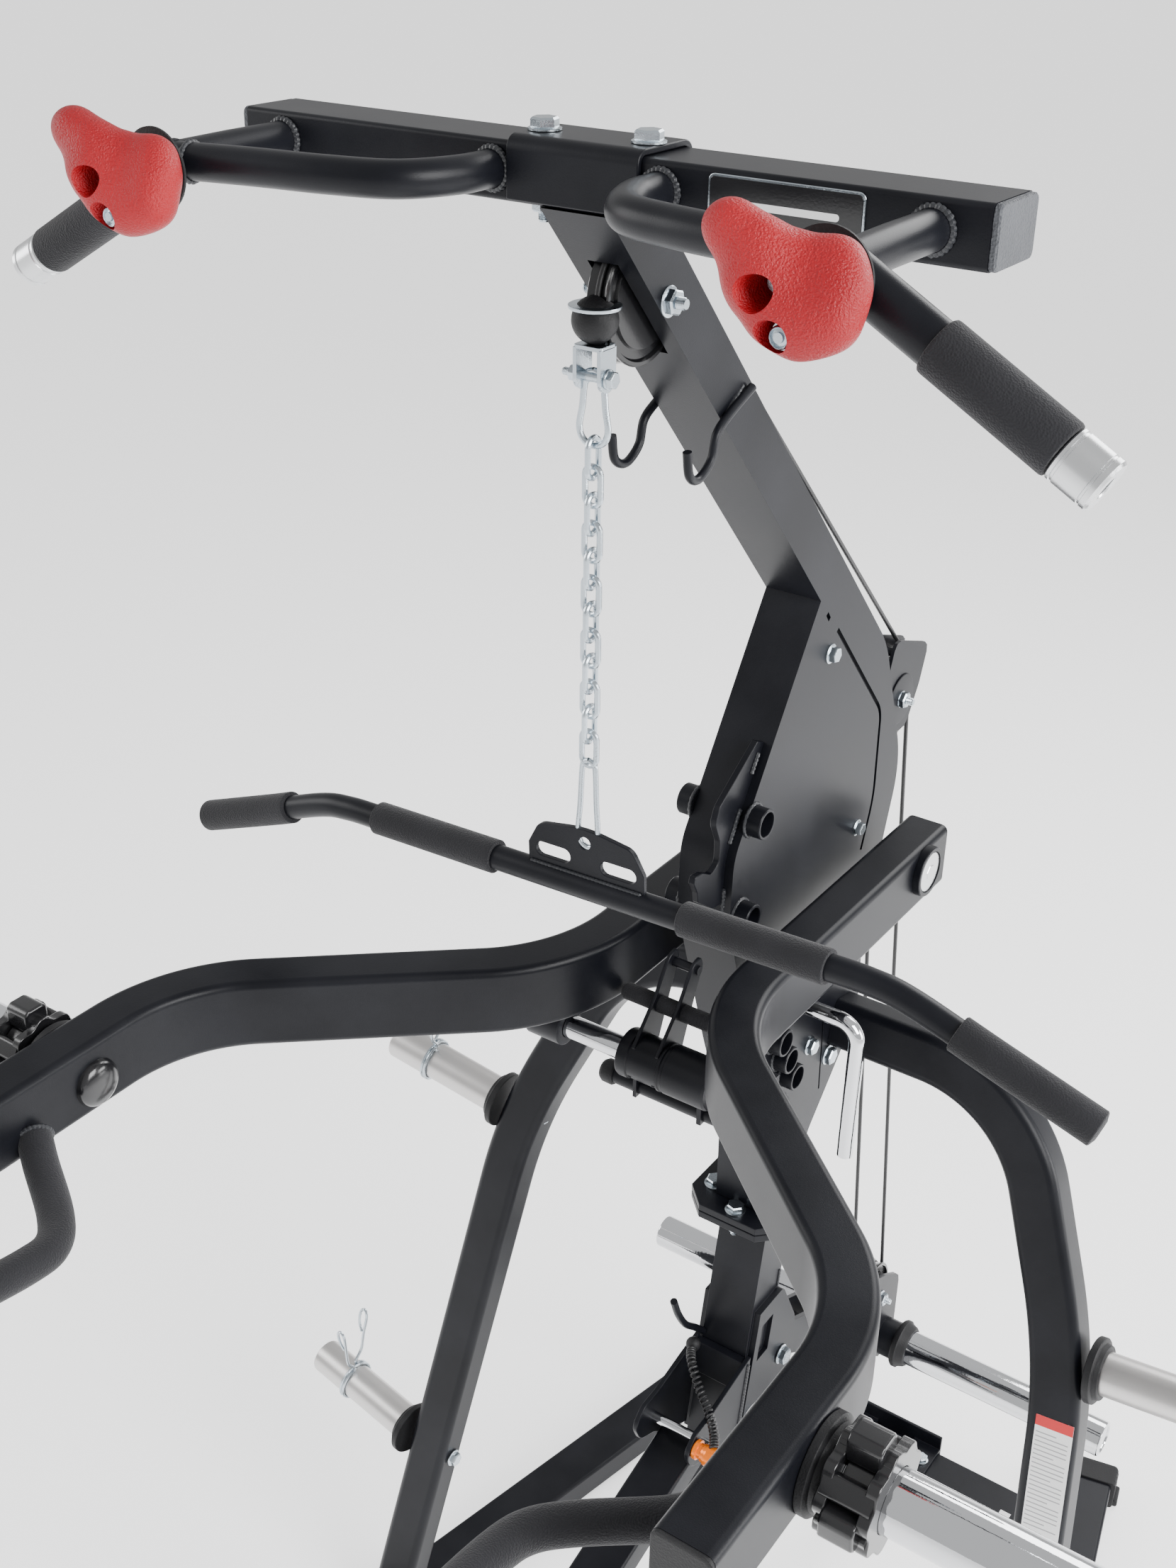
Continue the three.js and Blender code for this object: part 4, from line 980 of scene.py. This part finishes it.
def spring_clip(centre, axis, radius, lean):
    """A wire clip: turns round the horn and two looped handles."""
    a = Vector(axis).normalized()
    up = Vector(UP) - a * a.z
    up.normalize()
    side = a.cross(up)
    pts = []
    steps, start, sweep_angle, rise = 49, 12, 696, 9
    for k in range(steps + 1):
        t = math.radians(start + sweep_angle * k / steps)
        out = up * math.cos(t) + side * math.sin(t)
        pts.append(Vector(centre) + a * (k / steps * rise) + out * radius)
    first, last = pts[0], pts[-1]

    def ear(root, tilt):
        knee = root + up * 22 + side * tilt * 26
        out = (up + side * tilt * 0.35).normalized()
        return [root + up * 6, knee, knee + out * 26, knee + out * 60 - a * 2, knee + out * 70 + a * 4,
                knee + out * 62 + a * 11, knee + out * 44 + a * 11, knee + out * 30 + a * 4]

    path = list(reversed(ear(first, lean))) + pts + ear(last, -lean)
    return sweep(smooth_path(path, 4), ring(2.2, 8))


# ------------------------------------------------------------------ legs
# name, face of the flange, yaw and lift in radians, length, nut behind the leg
LEG_HORNS = (("upper", (421, 444, 860), 0, 0.119, 178, (352, 442, 862)),
             ("lower", (488, 306, 322), 0.13, 0.06, 186, (407, 303, 312)))


def legs():
    """The bent legs with two storage horns each."""
    tilt = math.atan(LEG_LEAN)
    stretch = 1 / math.cos(tilt)
    flat = rounded([(31.4, 1138 * stretch), (262, 1138 * stretch), (382, 853 * stretch), (468, 49 * stretch)],
                   [170, 700], 22)
    normal = Vector((0, -math.cos(tilt), math.sin(tilt)))
    for label, s in SIDES:
        path = [Vector((p.x, 223 + p.y * math.sin(tilt), p.y * math.cos(tilt))) for p in flat]
        tube = sweep(path, rounded_rect(60, 50, 11, 6), up=normal)
        cut = box_shape(300, 600, 100, 400, -60, 50.6)
        carved(f"leg_tube_{label}", mirrored(tube, s), [mirrored(cut, s)], COAT, "frame", [f"leg_{label}"],
               bevel=0)
        for tag, face, yaw, lift, length, back in LEG_HORNS:
            d = Vector((math.cos(yaw) * math.cos(lift), math.sin(yaw) * math.cos(lift), math.sin(lift)))
            flange = lathe([(-9, 0), (-9, 37), (-8, 38), (-1, 38), (0, 37), (1, 33), (6, 31), (7, 29),
                            (7, 0)], face, d, 56)
            sided(f"horn_flange_{tag}", label, flange, "rubber", "frame", smooth=35)
            horn = lathe(horn_profile(length), face, d, 64)
            sided(f"horn_{tag}", label, horn, "chrome", "frame", f"storage_horn_{tag}", smooth=30,
                  look=TRIM["satin"])
            end = Vector(face) + d * (length * 0.62)
            sided(f"horn_clip_{tag}", label, spring_clip(end, d, 27.4, 0.42), "zinc", "frame")
            nut = hex_head(back, (-1, 0, 0), 17, 9, 24)
            sided(f"horn_nut_{tag}", label, nut, "zinc", "frame")


def leg_label():
    """A plain printed sheet on the right leg's front: a red heading band and grey lines."""
    tilt = math.atan(LEG_LEAN)
    shoulder = Vector((382, 853 * LEG_LEAN + 223, 853))
    down = (Vector((468, 49 * LEG_LEAN + 223, 49)) - shoulder).normalized()
    normal = Vector((0, -math.cos(tilt), math.sin(tilt)))
    across = down.cross(normal).normalized()
    if across.x < 0:
        across = -across
    top = shoulder + down * 60 + across * 4 + normal * 25.15

    def patch(u0, u1, v0, v1, lift):
        corners = [top + across * u + down * v + normal * lift
                   for u, v in ((u0, v0), (u1, v0), (u1, v1), (u0, v1))]
        back = [c - normal * 0.5 for c in corners]
        edges = [(k, k + 4, (k + 1) % 4 + 4, (k + 1) % 4) for k in range(4)]
        return corners + back, [(0, 1, 2, 3), (7, 6, 5, 4), *edges]

    piece("label_sheet", *patch(-22, 22, 0, 168, 0.2), COAT, "frame", look=TRIM["label_white"])
    piece("label_band", *patch(-22, 22, 0, 13, 0.32), COAT, "frame", look=TRIM["label_red"])
    lines = []
    for k in range(22):
        width = 38 - 14 * ((k * 7) % 5 == 0)
        lines.append(patch(-20, -20 + width, 20 + k * 5.6, 21.3 + k * 5.6, 0.32))
    piece("label_lines", *merge(*lines), COAT, "frame", look=TRIM["label_grey"])


# ------------------------------------------------------------------ press arms
ARM_Z = 1355.5


def press_arms():
    """The press arms with their hinge ends, disc horns, collars and handles, and the shaft between them."""
    flat = rounded([(84, 584), (84, 124), (379, -130), (379, -400)], [190, 175], 26)
    for label, s in SIDES:
        path = [(p.x, p.y, ARM_Z) for p in flat]
        arm = sweep(path, rounded_rect(50, 75, 8, 5), up=UP)
        bush = lathe([(103, 13), (103, 20), (104.5, 22), (143.5, 22), (145, 20.5), (145, 0), (110, 0)],
                     (0, *CROSS_SHAFT), RIGHT, 48)
        web = box_shape(106, 138, 138, 160, 1292, 1322)
        sided("arm_tube", label, merge(arm, bush, web), COAT, "press_arms", "press_arm", smooth=40)
        hub = lathe([(108, 0), (108, 29), (116.6, 29), (117.6, 28), (117.6, 24), (115.5, 23.4), (115.5, 0)],
                    (0, *PRESS_HINGE), RIGHT, 56)
        sided("hinge_hub", label, hub, COAT, "press_arms", smooth=25)
        disc = lathe([(115.4, 0), (115.4, 23), (116.4, 22.4), (116.8, 12), (116.8, 0)],
                     (0, *PRESS_HINGE), RIGHT, 56)
        disc = merge(disc, hex_head((110.5, *PRESS_HINGE), RIGHT, 17, 7, 20))
        sided("hinge_cap", label, disc, "brushed_aluminium", "press_arms", smooth=25)
        plug = sweep([(379, y, ARM_Z) for y in (-399.6, -403, -404)], rounded_rect(49, 74, 7), up=UP,
                     scales=[1, 1, 0.93])
        sided("arm_plug", label, plug, "rubber", "press_arms")
        dome = [(0, 0), (0, 24)]
        dome += [(3 + 9 * math.sin(a), 23 * math.cos(a)) for a in [math.radians(9 * k) for k in range(10)]]
        dome = lathe([*dome, (12.2, 0)], (354.2, *PRESS_HORN), (-1, 0, 0), 48)
        sided("dome", label, dome, "nylon", "press_arms", smooth=35)
        flange = lathe([(404, 0), (404, 39), (405, 40), (411, 40), (412, 39), (413.5, 35), (418, 33),
                        (418, 0)], (0, *PRESS_HORN), RIGHT, 60)
        sided("horn_flange", label, flange, "rubber", "press_arms", smooth=35)
        horn = lathe(horn_profile(247), (412.6, *PRESS_HORN), RIGHT, 72)
        sided("press_sleeve", label, horn, "chrome", "press_arms", "press_horn", smooth=30)
        jaw_collar(label)
        grip = smooth_path([(353, -330, 1336), (330, -344, 1326), (278, -374, 1315), (252, -400, 1314),
                            (245, -434, 1319), (245, -500, 1331), (245, -558, 1341.6)], 12)
        scales = [1.0] * (len(grip) - 2) + [0.96, 0.8]
        sided("press_grip", label, sweep(grip, ring(16, 36), scales=scales), "foam_grip", "press_arms",
              "press_handle", smooth=50)
        beads = [weld_ring((352.5, -331, 1335.6), (1, 0.55, 0.3), 16, 2.4, 26),
                 weld_line((107, 136, 1318.4), (137, 136, 1318.4), 2.4)]
        sided("arm_welds", label, merge(*beads), COAT, "press_arms", look=TRIM["weld"])
    shaft = bar(-102.4, 102.4, 12.4, (0, *CROSS_SHAFT), RIGHT, 56)
    piece("cross_bar", *shaft, "chrome", "press_arms", ["cross_shaft"], smooth=30)


def jaw_collar(label):
    """A clamp collar: two scalloped end plates, ribs and a barrel between them, and two clamp lugs."""
    y, z = PRESS_HORN
    n = 96

    def lobed(low, high, radius, depth=2.6, lobes=9):
        profile = []
        for k in range(n):
            a = 2 * math.pi * k / n
            r = radius + depth * math.cos(lobes * a)
            profile.append((r * math.cos(a), r * math.sin(a)))
        verts = [(x, y + v, z + u) for x in (low, high) for u, v in profile + ring(25.4, n)]
        faces = []
        for k in range(n):
            q = (k + 1) % n
            faces.append((k, q, n + q, n + k))
            faces.append((2 * n + k, 3 * n + k, 3 * n + q, 2 * n + q))
            faces.append((k, 2 * n + k, 2 * n + q, q))
            faces.append((n + k, n + q, 3 * n + q, 3 * n + k))
        return verts, faces

    shapes = [lobed(420, 429, 41), lobed(431, 452, 30, 0), lobed(454, 463.6, 41)]
    sided("collar_shell", label, merge(*shapes), "nylon", f"collar_{label}", "horn_collar", bevel=0.8)
    ribs = []
    for turn in (90, 146, 202, 258, 314, 22):
        spoke = Vector((0, math.cos(math.radians(turn)), math.sin(math.radians(turn))))
        hub = Vector((0, *PRESS_HORN)) + spoke * 34.5
        ends = [hub + Vector((x, 0, 0)) for x in (422, 461.5)]
        ribs.append(sweep(ends, rounded_rect(19, 13.5, 4), up=spoke))
    sided("collar_ribs", label, merge(*ribs), "nylon", f"collar_{label}", smooth=40)
    clamp = []
    for turn, reach in ((90, 53), (186, 49)):
        c, d = math.cos(math.radians(turn)), math.sin(math.radians(turn))
        corners = [(30, -13), (reach - 4, -13), (reach, -8), (reach, 8), (reach - 4, 13), (30, 13)]
        clamp.append(plate_x([(y + u * c - v * d, z + u * d + v * c) for u, v in corners], 428, 456))
    sided("collar_clamp", label, merge(*clamp), "nylon", f"collar_{label}", bevel=2.4, steps=3)


def latch():
    """The latch that turns on the cross shaft: barrel, cheeks, handle and lower rod."""
    y, z = CROSS_SHAFT
    barrel = lathe([(-31, 12.9), (-31, 22), (-30, 25), (-28, 26), (-18, 26), (-17, 24.5), (17, 24.5),
                    (18, 26), (20, 26), (21, 24.8), (24, 24.8), (25, 26), (72, 26), (74, 24), (74, 12.9),
                    (-31, 12.9)], (0, y, z), RIGHT, 56)
    side = rounded([(y - 22, z - 14), (y + 20, z - 20), (y + 32, z + 10), (y + 46, z + 46), (y + 64, z + 88),
                    (y + 60, z + 99), (y + 46, z + 97), (y + 22, z + 60), (y - 16, z + 20)],
                   [8, 14, 30, 5, 5, 16, 30], 5)
    cheeks = plate_pair(side, 12, 16)
    piece("latch_cheeks", *merge(*cheeks), COAT, "latch", ["latch_yoke"], bevel=0.9)
    pin = bar(-18, 18, 5, (0, y + 54, z + 86), RIGHT, 28)
    rod = lathe([(-44, 0), (-44, 9.8), (90, 9.8), (92, 8), (92, 0)], (0, y + 2, z - 37), RIGHT, 36)
    strap = [box_shape(x0, x1, y - 11, y + 13, z - 45, z - 8) for x0, x1 in ((-16, -12), (60, 65))]
    piece("latch_barrel", *merge(barrel, pin, rod, *strap), COAT, "latch", smooth=40)
    ends = [(-57, 0), (-57, 4), (-56, 7), (-52, 9.2), (52, 9.2), (56, 7), (57, 4), (57, 0)]
    piece("latch_handle", *lathe(ends, (0, y + 31, z + 47), RIGHT, 36), "foam_grip", "latch", smooth=60)
    cap = [(-62, 0), (-62, 6), (-60, 10), (-56, 12.6), (-46, 12.8), (-44, 11.6), (-44, 0)]
    piece("latch_rod_cap", *lathe(cap, (0, y + 2, z - 37), RIGHT, 36), "rubber", "latch", smooth=60)


# ------------------------------------------------------------------ pins and docking bracket
def pins():
    """The L-shaped stop pin through the mast."""
    top = 1245
    bend = rounded([(-26, top), (119, top), (119, 1073)], [24], 14)
    path = [(p.x, 375 - max(0, (top - p.y)) * 4 / 172, p.y) for p in bend]
    piece("stop_rod", *sweep(path, ring(9, 32), up=REAR), "chrome", "stop_pin", ["arm_stop_pin"], smooth=40)


DOCK_PIN, DOCK_PIVOT = (211, 704), (235, 690)


def docking():
    """The bench dock: cheeks on the column, the rail, the pull pin with its lanyard, and a hose hook."""
    cheek = rounded([(336.6, 744), (296, 736), (246, 725), (214, 723), (193, 705), (206, 676), (236, 662),
                     (262, 640), (313.6, 612)], [40, 40, 20, 17, 20, 20, 20], 5)
    cheeks = plate_pair(cheek, 33, 39)
    web = plate_x([(325, 740), (336, 740), (328.5, 700), (317, 700)], -34, 34)
    piece("dock_cheeks", *merge(*cheeks, web), COAT, "frame", ["docking_bracket"], bevel=0.9)
    beads = [weld_line((s * 39.4, 330, 738), (s * 39.4, 311, 622), 2.4) for s in BOTH]
    seams("dock_welds", beads)
    slope = math.radians(16.3)
    c, s = math.cos(slope), math.sin(slope)

    def sloped(shape):
        verts, faces = shape
        return [(x, 250 + y * c - z * s, 673 + y * s + z * c) for x, y, z in verts], faces

    rail = sweep([(0, -1, -19), (0, -329, -19)], rounded_rect(56, 38, 4), up=UP)
    piece("dock_rail", *sloped(rail), COAT, "frame", ["docking_rail"])
    cap = sweep([(0, y, -19) for y in (-318, -337, -339)], rounded_rect(58, 40, 4), up=UP,
                scales=[1, 1, 0.94])
    piece("dock_rail_cap", *sloped(cap), "rubber", "frame")
    knob = [(39.6, 0), (39.6, 11), (41, 12), (45, 12), (46, 9.6), (50, 9.6), (51, 11), (54, 11.6),
            (56, 13), (59, 13.4), (75, 13.4), (77, 12.6), (79, 10), (79, 4), (77.5, 3.4), (77.5, 0)]
    piece("pull_knob", *lathe(knob, (0, *DOCK_PIN), RIGHT, 48), "anodised", "dock_pin", ["pop_pin"], smooth=30)
    ends = lathe([(-46, 0), (-46, 5), (-45, 6), (45, 6), (46, 5), (46, 0)], (0, *DOCK_PIVOT), RIGHT, 28)
    piece("dock_crossbar", *ends, "chrome", "frame", smooth=30)
    coil, coil_radius, per_turn = [], 4.6, 12
    route = smooth_path([(-24, 300, 752), (-12, 282, 752), (10, 264, 738), (34, 248, 727), (54, 228, 722),
                         (63, 213, 716)], 5)
    pts, axes = frames_along(route)
    turns, total = 26, len(route) - 1
    for k in range(turns * per_turn + 1):
        f = k / (turns * per_turn) * total
        i = min(int(f), total - 1)
        p = pts[i].lerp(pts[i + 1], f - i)
        side, rise = axes[i]
        a = 2 * math.pi * k / per_turn
        coil.append(p + side * coil_radius * math.cos(a) + rise * coil_radius * math.sin(a))
    piece("lanyard", *sweep(coil, ring(1.5, 8)), "cable_sheath", "frame")
    bead = [(-9 * math.cos(math.pi * k / 12), 9 * math.sin(math.pi * k / 12) if 0 < k < 12 else 0)
            for k in range(13)]
    piece("lanyard_ball", *lathe(bead, (-26, 308, 752), UP, 28), "rubber", "frame")
    rod = wire([(-30, 337, 748), (-33, 322, 764), (-36, 304, 782), (-36, 286, 812), (-36, 274, 842)], 4.5)
    piece("hose_hook", *rod, COAT, "frame")


# ------------------------------------------------------------------ stage, light and camera
FLOOR_SIZE = 60
# name, place in metres, size in metres, watts
LAMPS = (("key", (3.4, -0.6, 3.4), 2.2, 210), ("fill", (-3.4, -1.6, 3.0), 2.0, 70),
         ("back", (0.5, 3.6, 3.6), 2.4, 120), ("side", (3.4, 1.9, 1.6), 1.6, 90))
LAMP_TARGET = (0, 0, 1.3)


def stage():
    """A pale floor, a bright world and four area lamps."""
    bpy.ops.mesh.primitive_plane_add(size=FLOOR_SIZE, location=(0, 0, -0.001))
    floor = bpy.context.object
    floor.name = "floor"
    mat = shader("studio_floor", (0.93, 0.93, 0.935), 0.85, 0, 0.02, 40)
    fill(mat.node_tree.nodes["Principled BSDF"], {"Emission Color": (1, 1, 1, 1), "Emission Strength": 0.9})
    floor.data.materials.append(mat)
    world = bpy.data.worlds.new("studio")
    bpy.context.scene.world = world
    world.use_nodes = True
    fill(world.node_tree.nodes["Background"], {"Color": (1, 1, 1, 1), "Strength": 0.75})
    for name, place, size, power in LAMPS:
        lamp = bpy.data.lights.new(name, "AREA")
        lamp.size = size
        lamp.energy = power
        obj = new_object(name, lamp)
        obj.location = place
        obj.rotation_euler = (Vector(LAMP_TARGET) - Vector(place)).to_track_quat("-Z", "Y").to_euler()


CAMERA_PLACE = (790, -1122, 2403)
CAMERA_RIGHT, CAMERA_UP = (0.8206, 0.5716, 0.0121), (-0.2793, 0.3823, 0.8809)
LENS, SENSOR = 42.1, 36


def camera():
    """The camera at the photograph's viewing angle."""
    right = Vector(CAMERA_RIGHT)
    up = Vector(CAMERA_UP)
    back = right.cross(up).normalized()
    up = back.cross(right).normalized()
    right.normalize()
    lens = bpy.data.cameras.new("camera")
    lens.sensor_width = SENSOR
    lens.sensor_fit = "AUTO"
    lens.lens = LENS
    obj = new_object("camera", lens)
    turn = Matrix((right, up, back)).transposed().to_4x4()
    obj.matrix_world = Matrix.Translation(at(*CAMERA_PLACE)) @ turn
    bpy.context.scene.camera = obj


camera()
base()
column()
mast()
beam()
handles()
for side_label, side_sign in SIDES:
    climbing_hold(side_label, side_sign)
pulleys()
cables()
lat_line()
lat_bar()
weight_lever()
legs()
leg_label()
press_arms()
latch()
pins()
docking()
stage()
